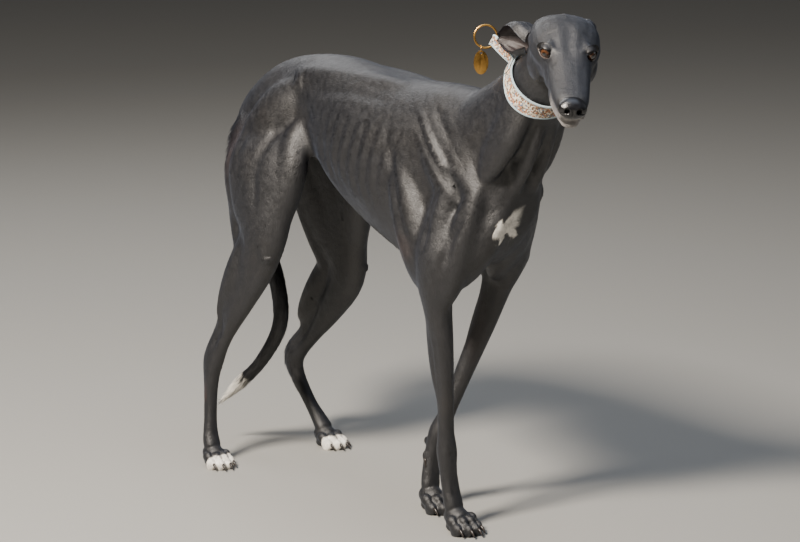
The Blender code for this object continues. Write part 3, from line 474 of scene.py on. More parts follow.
# %% Skull, jaw and the forms over them
# Head, in its own frame from the occiput: ahead, half width, up, down, squareness
SKULL = (
    (-0.014, 0.028, 0.002, 0.036, 2),
    (0.002, 0.042, 0.016, 0.052, 2),
    (0.020, 0.050, 0.029, 0.060, 2.1),
    (0.045, 0.055, 0.038, 0.064, 2.2),
    (0.070, 0.055, 0.040, 0.064, 2.2),
    (0.096, 0.049, 0.036, 0.056, 2.2),
    (0.120, 0.0400, 0.0310, 0.046, 2.3),
    (0.145, 0.0360, 0.0260, 0.036, 2.3),
    (0.175, 0.0325, 0.0225, 0.030, 2.4),
    (0.205, 0.0295, 0.0200, 0.027, 2.4),
    (0.230, 0.0260, 0.0180, 0.024, 2.4),
    (0.245, 0.0200, 0.0140, 0.019, 2.2),
    (0.252, 0.0120, 0.0080, 0.011, 2),
)
# Lower jaw: ahead, half width, up, down, height of its centre line
JAW = (
    (0.045, 0.036, 0.024, 0.024, -0.046),
    (0.090, 0.032, 0.020, 0.021, -0.044),
    (0.140, 0.0245, 0.014, 0.015, -0.037),
    (0.190, 0.0220, 0.012, 0.013, -0.032),
    (0.222, 0.0190, 0.011, 0.0125, -0.029),
    (0.237, 0.0125, 0.008, 0.009, -0.027),
)
OCCIPUT = place(0.4367, -0.022, 0.8769)
HEAD_YAW = math.radians(37.8)
HEAD_PITCH = math.radians(25.2)
HEAD_ROLL = math.radians(3.6)

EYE = (0.112, 0.0325, 0.0185)        # ahead, out, up from the occiput
EYE_RADIUS = 0.0112
EYE_OUTWARD = math.radians(30)
LID = 0.0019


def head_matrix():
    """From the head's frame (forward along -Y, left +X, up +Z, origin at the occiput) to the dog's."""
    return (Matrix.Translation(OCCIPUT) @ Matrix.Rotation(-HEAD_YAW, 4, "Z")
            @ Matrix.Rotation(HEAD_PITCH, 4, "X") @ Matrix.Rotation(HEAD_ROLL, 4, "Y"))


def eye_matrix(side):
    """The eye's own frame, which looks along its -Y, in the head's frame."""
    return Matrix.Translation(place(EYE[0], side * EYE[1], EYE[2])) @ Matrix.Rotation(side * EYE_OUTWARD, 4, "Z")


def make_head_pieces():
    """The head's bone and muscle forms, in the head's frame."""
    pieces = [
        loft("skull", [(a, 0, 0, half, up, down, power) for a, half, up, down, power in SKULL], UP, around=24),
        loft("jaw", [(a, 0, z, half, up, down, 2.2) for a, half, up, down, z in JAW], UP, around=20),
        blob("chin", (0.231, 0, -0.032), (0.024, 0.030, 0.017)),
    ]
    for side in (-1, 1):
        out = LEFT * side
        plan = (
            ("cheekbone", (0.125, 0.032, -0.004), (0.020, 0.052, -0.012), 0.026, 0.020),
            ("temple", (0.098, 0.024, 0.016), (0.008, 0.026, 0.002), 0.040, 0.036),
            ("cheek", (0.105, 0.036, -0.026), (0.010, 0.042, -0.050), 0.060, 0.034),
            ("brow", (0.134, 0.019, 0.018), (0.086, 0.031, 0.026), 0.016, 0.010),
            ("lip", (0.150, 0.026, -0.020), (0.246, 0.016, -0.015), 0.024, 0.016),
        )
        for name, start, end, width, depth in plan:
            ends = [(p[0], side * p[1], p[2]) for p in (start, end)]
            pieces.append(muscle(name, ends[0], ends[1], width, depth, out))
        work = bmesh.new()
        bmesh.ops.create_uvsphere(work, u_segments=20, v_segments=14, radius=EYE_RADIUS + LID,
                                  matrix=eye_matrix(side))
        pieces.append(mesh_from("lids", work))
    for piece in pieces:
        piece.data.transform(head_matrix())
    return pieces

# %% [markdown]
# The eyes sit in sockets, and the mouth is shut: its line runs under the nose and back to the corner of the lips.
# These hollows are cut last, with solids of their own.

# %% Sockets, lids, mouth line and nostrils
SOCKET_GAP = 0.0004
LID_OPENING = (0.0122, 0.0100, 0.0078)   # half width, depth and height of the opening
MOUTH_LINE = (
    (0.132, 0.0390, -0.0330), (0.150, 0.0370, -0.0315), (0.175, 0.0335, -0.0290), (0.205, 0.0300, -0.0270),
    (0.228, 0.0250, -0.0250), (0.242, 0.0140, -0.0235), (0.2470, 0.0, -0.0230),
)
MOUTH_HALF_GAP = 0.0008
MOUTH_DEPTH = 0.0060


def make_head_cutters():
    """Sockets, lid openings, nostrils and the mouth line, in the head's frame."""
    line = [(a, -s, z) for a, s, z in MOUTH_LINE] + [(a, s, z) for a, s, z in MOUTH_LINE[-2::-1]]
    cutters = [loft("mouth_line", [p + (MOUTH_DEPTH, MOUTH_HALF_GAP, MOUTH_HALF_GAP, 2) for p in line], UP,
                    around=10, steps=2)]
    for side in (-1, 1):
        socket = eye_matrix(side)
        cutters.append(ball("socket", EYE_RADIUS + SOCKET_GAP, socket))
        opening = Matrix.Translation((0, -EYE_RADIUS, 0)) @ Matrix.Diagonal((*LID_OPENING, 1))
        cutters.append(ball("lid_opening", 1, socket @ opening))
        cutters.append(blob("nostril", (0.2575, side * 0.0095, 0.0045), (0.016, 0.0088, 0.0100)))
        cutters.append(muscle("nostril_slit", (0.2590, side * 0.0120, 0.0020), (0.2470, side * 0.0235, -0.0010),
                              0.0040, 0.0028, UP))
    for cutter in cutters:
        cutter.data.transform(head_matrix())
    return cutters


def ball(name, radius, matrix, segments=18, rings=12):
    work = bmesh.new()
    bmesh.ops.create_uvsphere(work, u_segments=segments, v_segments=rings, radius=radius, matrix=matrix)
    return mesh_from(name, work)


# %% [markdown]
# All these closed forms are grown into one skin by a voxel remesh, as a sculptor presses lumps of clay together,
# and smoothing then softens the creases between them. The body is fused and softened first, on a coarser grid,
# and then once more with head and paws on a fine one, so that a toe or a lip keeps its edge.

# %% One skin
GROUND = 0.0
BODY_GRID = 0.004
BODY_SOFTENING = 20
SKIN_GRID = 0.0019
SKIN_SOFTENING = 6

right_eye, left_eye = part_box("eye_right"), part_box("eye_left")
drawn_eyes = sum(((head_matrix() @ eye_matrix(side)).translation for side in (-1, 1)), Vector()) / 2
SHIFT = sum((*right_eye, *left_eye), Vector()) / 4 - drawn_eyes
print("shift", [round(v, 5) for v in SHIFT])


def keep_outer(obj):
    """Only the surface that the topmost point belongs to: closed hollows inside the body go."""
    points = points_of(obj)
    edges = np.empty(len(obj.data.edges) * 2, dtype=np.int64)
    obj.data.edges.foreach_get("vertices", edges)
    edges = edges.reshape(-1, 2)
    label = np.arange(len(points))
    while True:
        low = np.minimum(label[edges[:, 0]], label[edges[:, 1]])
        np.minimum.at(label, edges[:, 0], low)
        np.minimum.at(label, edges[:, 1], low)
        label = label[label]
        if (label[edges[:, 0]] == label[edges[:, 1]]).all():
            break
    outer = label == label[points[:, 2].argmax()]
    print(obj.name, "surfaces", len(np.unique(label)), "points dropped", int((~outer).sum()))
    if not outer.all():
        alone(obj)
        bpy.ops.object.mode_set(mode="EDIT")
        bpy.ops.mesh.select_all(action="DESELECT")
        bpy.ops.object.mode_set(mode="OBJECT")
        obj.data.vertices.foreach_set("select", ~outer)
        bpy.ops.object.mode_set(mode="EDIT")
        bpy.ops.mesh.delete(type="VERT")
        bpy.ops.object.mode_set(mode="OBJECT")
    return obj


def fused(name, pieces, grid, softening):
    """The pieces joined, remeshed into one closed skin and softened."""
    alone(*pieces)
    bpy.ops.object.join()
    obj = bpy.context.object
    obj.name = name
    add_modifier(obj, "REMESH", mode="VOXEL", voxel_size=grid)
    add_modifier(obj, "SMOOTH", factor=0.5, iterations=softening)
    apply_modifiers(obj)
    return keep_outer(obj)


trunk_skin = fused("trunk", make_body_pieces(), BODY_GRID, BODY_SOFTENING)
paw_forms = [piece for name in PAWS for piece in make_paw(name)]
skin = fused("skin", [trunk_skin] + paw_forms + make_head_pieces(), SKIN_GRID, SKIN_SOFTENING)
print("skin", len(skin.data.vertices), "points")

# %% [markdown]
# Relief is drawn on the skin as a sculptor would, with strokes: a line beside the body, how deep or proud it is and
# how wide. Each stroke is laid on the skin by its nearest points, and the skin near it moves along its own normals.
# Grooves part the muscles, ridges are ribs, tendons and veins.

# %% Strokes


def laid(surface, line, spacing=0.004):
    """Points along a smooth line, each moved to the nearest point of the surface."""
    fine = smooth_rows(line, 12)
    steps = np.linalg.norm(np.diff(fine, axis=0), axis=1)
    reach = np.concatenate([[0], np.cumsum(steps)])
    count = max(int(reach[-1] / spacing), 2)
    even = np.stack([np.interp(np.linspace(0, reach[-1], count), reach, fine[:, k]) for k in range(3)], 1)
    return np.array([surface.find_nearest(place(*point))[0] for point in even])


def stroke(points, line, depth, width):
    """How far each point of the skin moves for one line. Its ends fade."""
    low, high = line.min(0) - 3 * width, line.max(0) + 3 * width
    near = np.flatnonzero(((points > low) & (points < high)).all(1))
    best = np.full(len(near), 9.0)
    place_on_line = np.zeros(len(near))
    for i in range(len(line) - 1):
        start, step = line[i], line[i + 1] - line[i]
        t = np.clip((points[near] - start) @ step / max(step @ step, 1e-12), 0, 1)
        gap = np.linalg.norm(points[near] - start - t[:, None] * step, axis=1)
        closer = gap < best
        best[closer] = gap[closer]
        place_on_line[closer] = (i + t[closer]) / (len(line) - 1)
    fade = np.clip(np.minimum(place_on_line, 1 - place_on_line) / 0.22, 0.12, 1)
    move = np.zeros(len(points))
    move[near] = depth * np.exp(-(best / width) ** 2) * fade
    return move


def body_strokes(side):
    """Grooves and ridges of one side of the body: line, depth (a groove is below zero) and width."""
    fore, hind = (LEG_PATHS[name + ("_left" if side > 0 else "_right")] for name in ("fore", "hind"))

    def line(*stations):
        return [(f, side * l, z) for f, l, z in stations]

    def beside(path, *stations):
        """Points beside a leg: number of the joint on its centre line, then ahead, outwards and up from it."""
        return [(path[i][0] + f, path[i][1] + side * l, path[i][2] + z) for i, f, l, z in stations]

    strokes = []
    for k in range(9):
        top = 0.120 - 0.029 * k
        rise = (0.5 + 0.5 * math.sin(math.pi * (k + 0.5) / 9)) * 0.0012
        bow = ((0.000, 0.690), (-0.020, 0.632), (-0.036, 0.570), (-0.030, 0.508))
        strokes.append((line(*((top + f, 0.10, z) for f, z in bow)), rise, 0.0085))
        strokes.append((line(*((top + f - 0.0145, 0.10, z - 0.003) for f, z in bow)), -rise, 0.0070))
    strokes += [
        (line((-0.125, 0.07, 0.655), (-0.120, 0.09, 0.600), (-0.070, 0.09, 0.535), (0.010, 0.07, 0.470)),
         -0.0035, 0.022),
        (line((-0.150, 0.06, 0.672), (-0.185, 0.06, 0.640), (-0.195, 0.06, 0.580)), -0.0050, 0.024),
        (line((0.110, 0.045, 0.712), (0.180, 0.08, 0.655), (0.262, 0.09, 0.592)), 0.0024, 0.007),
        (line((0.120, 0.05, 0.690), (0.180, 0.08, 0.635), (0.246, 0.09, 0.580)), -0.0024, 0.007),
        (line((0.150, 0.04, 0.718), (0.215, 0.08, 0.665), (0.285, 0.09, 0.605)), -0.0022, 0.008),
        (line((0.062, 0.07, 0.668), (0.088, 0.10, 0.590), (0.128, 0.10, 0.505), (0.165, 0.10, 0.445)),
         -0.0040, 0.010),
        (line((0.205, 0.09, 0.596), (0.192, 0.10, 0.530), (0.190, 0.11, 0.470)), -0.0026, 0.007),
        (line((0.278, 0.08, 0.566), (0.248, 0.09, 0.500), (0.222, 0.10, 0.440)), -0.0030, 0.008),
        (line((0.398, 0.03, 0.772), (0.340, 0.06, 0.690), (0.278, 0.07, 0.600)), -0.0012, 0.012),
        (line((0.400, 0.03, 0.748), (0.355, 0.05, 0.672), (0.322, 0.04, 0.585)), -0.0006, 0.010),
        (line((0.330, 0.05, 0.752), (0.262, 0.06, 0.704), (0.200, 0.05, 0.700)), -0.0010, 0.014),
        (line((0.060, 0.05, 0.700), (-0.060, 0.06, 0.708), (-0.190, 0.06, 0.694)), -0.0022, 0.010),
        (line((-0.198, 0.05, 0.712), (-0.226, 0.055, 0.706)), 0.0040, 0.016),
        (line((-0.388, 0.05, 0.640), (-0.402, 0.05, 0.620)), 0.0024, 0.014),
        (line((-0.232, 0.08, 0.665), (-0.262, 0.12, 0.560), (-0.252, 0.12, 0.470)), -0.0028, 0.010),
        (line((-0.362, 0.08, 0.640), (-0.350, 0.10, 0.540), (-0.325, 0.12, 0.450), (-0.318, 0.13, 0.395)),
         -0.0034, 0.009),
        (line((-0.300, 0.08, 0.676), (-0.322, 0.10, 0.610), (-0.316, 0.11, 0.540)), -0.0018, 0.009),
        (beside(hind, (4, 0.052, 0.010, 0.026), (4, 0.052, 0.010, 0.010)), 0.0030, 0.011),
        (beside(hind, (4, 0.030, 0.030, 0.060), (4, 0.034, 0.030, 0.010), (5, 0.030, 0.030, 0.020)),
         -0.0018, 0.008),
        *((beside(hind, (5, -0.012, 0.03 * face, 0.02), (6, -0.008, 0.03 * face, 0.0),
                  (7, -0.006, 0.02 * face, 0.022)), -0.0045, 0.0075) for face in (1, -1)),
        (beside(hind, (5, 0.006, 0.03, 0.03), (6, 0.006, 0.03, 0.010), (7, 0.006, 0.02, 0.03)), -0.0012, 0.005),
        (beside(hind, (7, 0.012, 0.02, 0.01), (6, 0.006, 0.03, -0.01), (6, -0.012, 0.03, 0.03),
                (5, -0.026, 0.03, 0.03)), 0.0011, 0.0024),
        (beside(hind, (8, 0.002, 0.02, -0.010), (9, 0.002, 0.02, 0.0), (10, 0.002, 0.02, 0.010)), -0.0009, 0.0030),
        (beside(fore, (3, 0.004, 0.03, -0.02), (4, 0.003, 0.03, 0.0), (5, 0.002, 0.03, 0.0),
                (6, 0.001, 0.02, 0.01)), -0.0016, 0.0050),
        (beside(fore, (3, -0.010, 0.03, -0.04), (4, -0.012, 0.03, -0.01), (5, -0.010, 0.03, 0.0),
                (6, -0.008, 0.02, 0.02)), -0.0014, 0.0042),
        (beside(fore, (3, 0.040, 0.006, -0.01), (4, 0.030, 0.002, 0.0), (5, 0.026, -0.004, 0.0),
                (6, 0.020, -0.008, 0.0)), 0.0010, 0.0024),
        (beside(fore, (8, 0.004, 0.016, -0.008), (9, 0.010, 0.016, 0.0)), -0.0008, 0.0030),
        *((beside(fore, (8, 0.02, l, -0.004), (9, 0.02, l, 0.0)), -0.0008, 0.0030) for l in (-0.006, 0.006)),
        (beside(fore, (7, 0.020, 0.012, -0.004), (7, 0.020, -0.012, -0.004)), -0.0010, 0.0040),
    ]
    return strokes


def head_strokes(side):
    """Grooves and ridges of one side of the head, in the head's frame."""
    def line(*stations):
        return [(a, side * s, z) for a, s, z in stations]

    lip = [(a, side * s, z) for a, s, z in MOUTH_LINE[:-1]]
    return [
        (lip, -0.0016, 0.0016),
        ([(a, s, z + 0.0042) for a, s, z in lip], 0.0008, 0.0030),
        ([(a, s * 0.9, z - 0.0048) for a, s, z in lip], 0.0006, 0.0026),
        (line((0.132, 0.036, 0.010), (0.150, 0.030, 0.004), (0.172, 0.026, -0.002)), -0.0012, 0.0045),
        (line((0.128, 0.036, 0.000), (0.100, 0.046, -0.004), (0.070, 0.052, -0.006), (0.040, 0.054, -0.010)),
         0.0016, 0.0060),
        (line((0.120, 0.036, -0.012), (0.096, 0.044, -0.016), (0.070, 0.050, -0.020)), -0.0014, 0.0060),
        (line((0.096, 0.030, 0.034), (0.070, 0.036, 0.036), (0.040, 0.040, 0.034)), -0.0016, 0.0110),
        (line((0.132, 0.020, 0.028), (0.112, 0.026, 0.034), (0.094, 0.034, 0.032)), 0.0014, 0.0050),
        (line((0.150, 0.020, 0.020), (0.185, 0.017, 0.016), (0.215, 0.016, 0.014)), -0.0009, 0.0060),
        (line((0.136, 0.034, -0.004), (0.165, 0.029, -0.010), (0.200, 0.026, -0.012)), 0.0007, 0.0018),
        (line((0.128, 0.040, -0.034), (0.118, 0.042, -0.041), (0.106, 0.042, -0.052)), -0.0012, 0.0040),
        (line((0.236, 0.020, -0.004), (0.222, 0.024, -0.006), (0.212, 0.026, -0.004)), -0.0010, 0.0040),
    ]


MIDDLE_STROKES = (
    # along the forehead and the back of the skull, in the head's frame
    (((0.150, 0.0, 0.026), (0.110, 0.0, 0.037), (0.085, 0.0, 0.040), (0.055, 0.0, 0.043)), -0.0022, 0.0085),
    (((0.045, 0.0, 0.042), (0.015, 0.0, 0.034), (-0.008, 0.0, 0.020)), 0.0012, 0.0050),
)


def carve(obj, strokes, in_head=False):
    """Lay the strokes on the skin and move it."""
    surface = BVHTree.FromObject(obj, bpy.context.evaluated_depsgraph_get())
    points, normals = points_of(obj), normals_of(obj)
    turn = head_matrix()
    move = np.zeros(len(points))
    for line, depth, width in strokes:
        if in_head:
            line = [turn @ place(*point) for point in line]
            line = [(-p.y, p.x, p.z) for p in line]
        move += stroke(points, laid(surface, line), depth, width)
    set_points(obj, points + normals * move[:, None])


carve(skin, body_strokes(-1) + body_strokes(1))
carve(skin, head_strokes(-1) + head_strokes(1) + list(MIDDLE_STROKES), in_head=True)
print("carved", 2 * (len(body_strokes(1)) + len(head_strokes(1))) + len(MIDDLE_STROKES), "strokes")

# %% [markdown]
# A rose ear is a cup of thin skin with its mouth to the front, folded back along its length. It is a grid bent to
# shape, thickened by Solidify. The cup's rim turns in a little, and a fold runs from its root to its tip.

# %% Ears
EARS = {
    "ear_right": (-1, (0.006, 0.046, -0.036), (-0.72, 0.68, -0.14), (0.66, 0.72, 0.10), 0.076),
    "ear_left": (1, (0.000, 0.038, -0.030), (-0.95, 0.14, -0.24), (0.20, 0.96, 0.10), 0.070),
}
# Along the ear: radius of the cup, half of the angle that its wall spans
EAR_FORM = ((0.0170, 168), (0.0220, 150), (0.0240, 132), (0.0220, 116), (0.0160, 100), (0.0050, 80))
EAR_LEATHER = 0.0026
EAR_TALL = 1.20
EAR_DROOP = 0.018
EAR_FOLD_WIDTH = 0.07      # shares of the cup's half width, as the places below are
EAR_FOLDS = ((-0.62, 0.0020), (-0.30, -0.0026), (0.02, 0.0026), (0.34, -0.0022), (0.60, 0.0018))
EAR_STEPS = 8
EAR_COLUMNS = 45


def ear_axes(name):
    side, root, along, facing, length = EARS[name]
    root, along, facing = (place(v[0], side * v[1], v[2]) for v in (root, along, facing))
    along.normalize()
    facing = (facing - along * facing.dot(along)).normalized()
    return root, along, facing, along.cross(facing), length


def make_ear(name):
    root, along, facing, third, length = ear_axes(name)
    rows = smooth_rows(EAR_FORM, EAR_STEPS)
    work = bmesh.new()
    grid = []
    for i, (radius, spread) in enumerate(rows):
        t = i / (len(rows) - 1)
        centre = root + along * (length * t) - UP * (EAR_DROOP * t * t)
        line = []
        for k in range(EAR_COLUMNS):
            across = 2 * k / (EAR_COLUMNS - 1) - 1
            angle = math.radians(spread) * across
            rim = 1 - 0.10 * max(abs(across) - 0.80, 0) / 0.20
            fold = sum(height * math.exp(-((across - at) / EAR_FOLD_WIDTH) ** 2) for at, height in EAR_FOLDS)
            reach = radius * rim - fold * math.sin(math.pi * min(t + 0.1, 1))
            line.append(work.verts.new(centre - facing * (reach * math.cos(angle))
                                       + third * (reach * EAR_TALL * math.sin(angle))))
        grid.append(line)
    for low, high in zip(grid, grid[1:]):
        for k in range(EAR_COLUMNS - 1):
            work.faces.new((low[k], low[k + 1], high[k + 1], high[k]))
    ear = mesh_from(name, work)
    ear.data.transform(head_matrix())
    add_modifier(ear, "SOLIDIFY", thickness=EAR_LEATHER, offset=0, use_even_offset=True)
    add_modifier(ear, "BEVEL", width=EAR_LEATHER * 0.35, segments=2, limit_method="ANGLE")
    return apply_modifiers(ear)


def combine(target, pieces, operation):
    """One Boolean on a collection of closed pieces, applied, with the pieces then removed."""
    group = bpy.data.collections.new("boolean pieces")
    bpy.context.scene.collection.children.link(group)
    for piece in pieces:
        bpy.context.scene.collection.objects.unlink(piece)
        group.objects.link(piece)
    add_modifier(target, "BOOLEAN", operation=operation, operand_type="COLLECTION", collection=group,
                 solver="MANIFOLD")
    apply_modifiers(target)
    for piece in pieces:
        bpy.data.objects.remove(piece)
    bpy.data.collections.remove(group)


ears = [make_ear(name) for name in EARS]
combine(skin, ears, "UNION")
combine(skin, make_head_cutters(), "DIFFERENCE")

# %% [markdown]
# The soles are cut flat at the floor, where the pads press on it. Then the skin is thinned: the head and paws keep
# their fine faces, and the broad flanks give most of theirs.

# %% Flat soles, and faces where they count
SKIN_FACES = 188000
COAT_DEPTH = 0.0010


def head_place(points):
    """Points in the head's own frame, as ahead, left and up."""
    turn = np.array(head_matrix().inverted())
    own = points @ turn[:3, :3].T + turn[:3, 3]
    return np.stack([-own[:, 1], own[:, 0], own[:, 2]], 1)


def step(values, low, high):
    """0 below low, 1 above high and smooth between them. Low may be the greater one."""
    t = np.clip((values - low) / (high - low), 0, 1)
    return t * t * (3 - 2 * t)


def head_share(points):
    """1 on the head and ears, 0 on the body."""
    own = head_place(points)
    ahead, up = own[:, 0], own[:, 2]
    return step(ahead + 0.25 * up, -0.035, 0.0) * step(np.linalg.norm(own - (0.09, 0, -0.01), axis=1), 0.24, 0.20)


def ear_share(points):
    """1 on the ears, 0 away from them."""
    turn = np.array(head_matrix())
    share = np.zeros(len(points))
    for name in EARS:
        root, along, facing, third, length = ear_axes(name)
        for t in np.linspace(0, 1.15, 8):
            middle = turn[:3, :3] @ np.array(root + along * (length * t) - UP * (EAR_DROOP * t * t)) + turn[:3, 3]
            share = np.maximum(share, step(np.linalg.norm(points - middle, axis=1), 0.042, 0.034))
    return share


def thin_and_stand(obj):
    alone(obj)
    bpy.ops.object.mode_set(mode="EDIT")
    bpy.ops.mesh.select_all(action="SELECT")
    bpy.ops.mesh.bisect(plane_co=(0, 0, GROUND), plane_no=(0, 0, 1), clear_inner=True, use_fill=True,
                        threshold=1e-6)
    bpy.ops.object.mode_set(mode="OBJECT")
    keep_outer(obj)
    points = points_of(obj)
    keep = np.maximum(np.maximum(head_share(points), ear_share(points)), step(points[:, 2], 0.075, 0.05) * 0.6)
    broad = obj.vertex_groups.new(name="broad")
    order = np.round((1 - 0.85 * keep) * 20) / 20
    for weight in np.unique(order):
        broad.add(np.flatnonzero(order == weight).tolist(), float(weight), "REPLACE")
    add_modifier(obj, "DECIMATE", ratio=SKIN_FACES / triangle_count(obj), vertex_group="broad",
                 vertex_group_factor=1.0)
    apply_modifiers(obj)
    obj.vertex_groups.clear()
    points, normals = points_of(obj), normals_of(obj)
    depth = COAT_DEPTH * (1 - 0.75 * head_share(points)) * step(points[:, 2], 0.03, 0.07)
    set_points(obj, points - normals * depth[:, None])


thin_and_stand(skin)
print("skin faces", triangle_count(skin))

# %% [markdown]
# Hair lies the way it grows: from the nose back over the skull, down the neck, back and down over the ribs, and
# down each leg to the toes. A few guide lines through the body say it. At any point of the skin the nearest guides
# give the direction, each with a weight that falls off fast, and the skin's own slope then bends it flat.

# %% Guides and the lie of the coat


def line_through(stations):
    return np.array([place(*row) for row in smooth_rows([row[:3] for row in stations], 4)])


def head_line(stations):
    return np.array([head_matrix() @ place(*row) for row in smooth_rows(stations, 4)])


def ear_line(name):
    root, along, facing, third, length = ear_axes(name)
    turn = head_matrix()
    return np.array([turn @ (root + along * (length * t) - UP * (EAR_DROOP * t * t)) for t in np.linspace(0, 1, 9)])


# name: line, usual distance from it to the skin, how strongly its hair also runs down
GUIDES = {
    "head": (head_line(((0.262, 0, 0.0), (0.170, 0, -0.006), (0.080, 0, -0.012), (-0.020, 0, -0.022))), 0.034, 0.1),
    "neck": (line_through(((0.430, -0.026, 0.836), (0.365, -0.013, 0.760), (0.290, -0.003, 0.690),
                           (0.215, 0, 0.640))), 0.055, 0.0),
    "trunk": (line_through(((0.230, 0, 0.620), (0.110, 0, 0.606), (-0.060, 0, 0.620), (-0.220, 0, 0.655),
                            (-0.400, 0, 0.600))), 0.090, 0.55),
    "tail": (line_through(TAIL), 0.016, 0.0),
    "ear_right": (ear_line("ear_right"), 0.022, 0.0),
    "ear_left": (ear_line("ear_left"), 0.022, 0.0),
}
for leg_name, leg_path in LEG_PATHS.items():
    GUIDES[leg_name] = (line_through(leg_path), 0.030, 0.0)


def along_guide(points, line):
    """For each point its distance to a line, and there the line's direction, share of its length and the foot."""
    steps = np.diff(line, axis=0)
    lengths = np.linalg.norm(steps, axis=1)
    before = np.concatenate([[0], np.cumsum(lengths)])
    best = np.full(len(points), 9.0)
    share = np.zeros(len(points))
    foot = np.zeros((len(points), 3))
    tangent = np.zeros((len(points), 3))
    for i, step_along in enumerate(steps):
        t = np.clip((points - line[i]) @ step_along / (lengths[i] ** 2), 0, 1)
        on_line = line[i] + t[:, None] * step_along
        gap = np.linalg.norm(points - on_line, axis=1)
        closer = gap < best
        best[closer] = gap[closer]
        share[closer] = (before[i] + t[closer] * lengths[i]) / before[-1]
        foot[closer] = on_line[closer]
        tangent[closer] = step_along / lengths[i]
    return best, tangent, share, foot


def lie_of(points, normals):
    """The hair's direction on the skin at each point, and the number of the nearest guide."""
    total = np.zeros((len(points), 3))
    weights = []
    for line, reach, down in GUIDES.values():
        gap, tangent = along_guide(points, line)[:2]
        weight = 1 / (np.maximum(gap - reach, 0) + 0.010) ** 3
        total += weight[:, None] * (tangent - np.array([0, 0, down]))
        weights.append(weight)
    total -= normals * (total * normals).sum(1)[:, None]
    total /= np.maximum(np.linalg.norm(total, axis=1), 1e-9)[:, None]
    return total, np.argmax(weights, axis=0)


print("guides", len(GUIDES))

# %% [markdown]
# The dog is black with a white star on its breast, white hind toes, a white end to its tail and a pale tuft under
# the belly. Age has frosted its lips. Where the coat is sparse, on the brisket, the buttock and the sheath, brown
# and pink skin shows, and on the inside of the left forearm the brown is painted sunlight on sparse hair. Each mark
# is a number from 0 to 1 that is worked out from the place on the body, so that the skin and the hair that grows
# from it agree.

# %% Marks of the coat
BREAST_TURN = math.radians(39)
BREAST_STAR_MIDDLE = (0.173, 0.524)
BREAST_STAR = ((-0.014, 0.018), (-0.003, 0.013), (0.0095, 0.027), (0.015, 0.017), (0.020, -0.010),
               (0.007, -0.0245), (0.0045, -0.004), (-0.0010, -0.003), (-0.0100, -0.027), (-0.0195, -0.004))
TAIL_WHITE_FROM = 0.885


def depth_inside(across, up, corners):
    """How far inside an outline each point lies. Outside it is below zero."""
    inside = np.zeros(len(across), bool)
    gap = np.full(len(across), 9.0)
    for (x0, y0), (x1, y1) in zip(corners, corners[1:] + corners[:1]):
        dx, dy = x1 - x0, y1 - y0
        t = np.clip(((across - x0) * dx + (up - y0) * dy) / (dx * dx + dy * dy), 0, 1)
        gap = np.minimum(gap, np.hypot(across - x0 - t * dx, up - y0 - t * dy))
        if dy:
            crossing = ((up > y0) != (up > y1)) & (across < x0 + (up - y0) / dy * dx)
            inside ^= crossing
    return np.where(inside, gap, -gap)


def near(points, forward, left, up, size):
    """1 at a place on the body, fading to 0 at its size from it. A size is one number or three."""
    offset = (points - np.array(place(forward, left, up))) / np.array(size)
    return step(np.linalg.norm(offset, axis=1), 1.0, 0.35)


def belly_tuft(points, normals):
    """1 on the pale tuft under the belly."""
    return near(points, -0.135, 0.0, 0.505, (0.034, 0.040, 0.030)) * step(normals[:, 2], 0.3, -0.2)


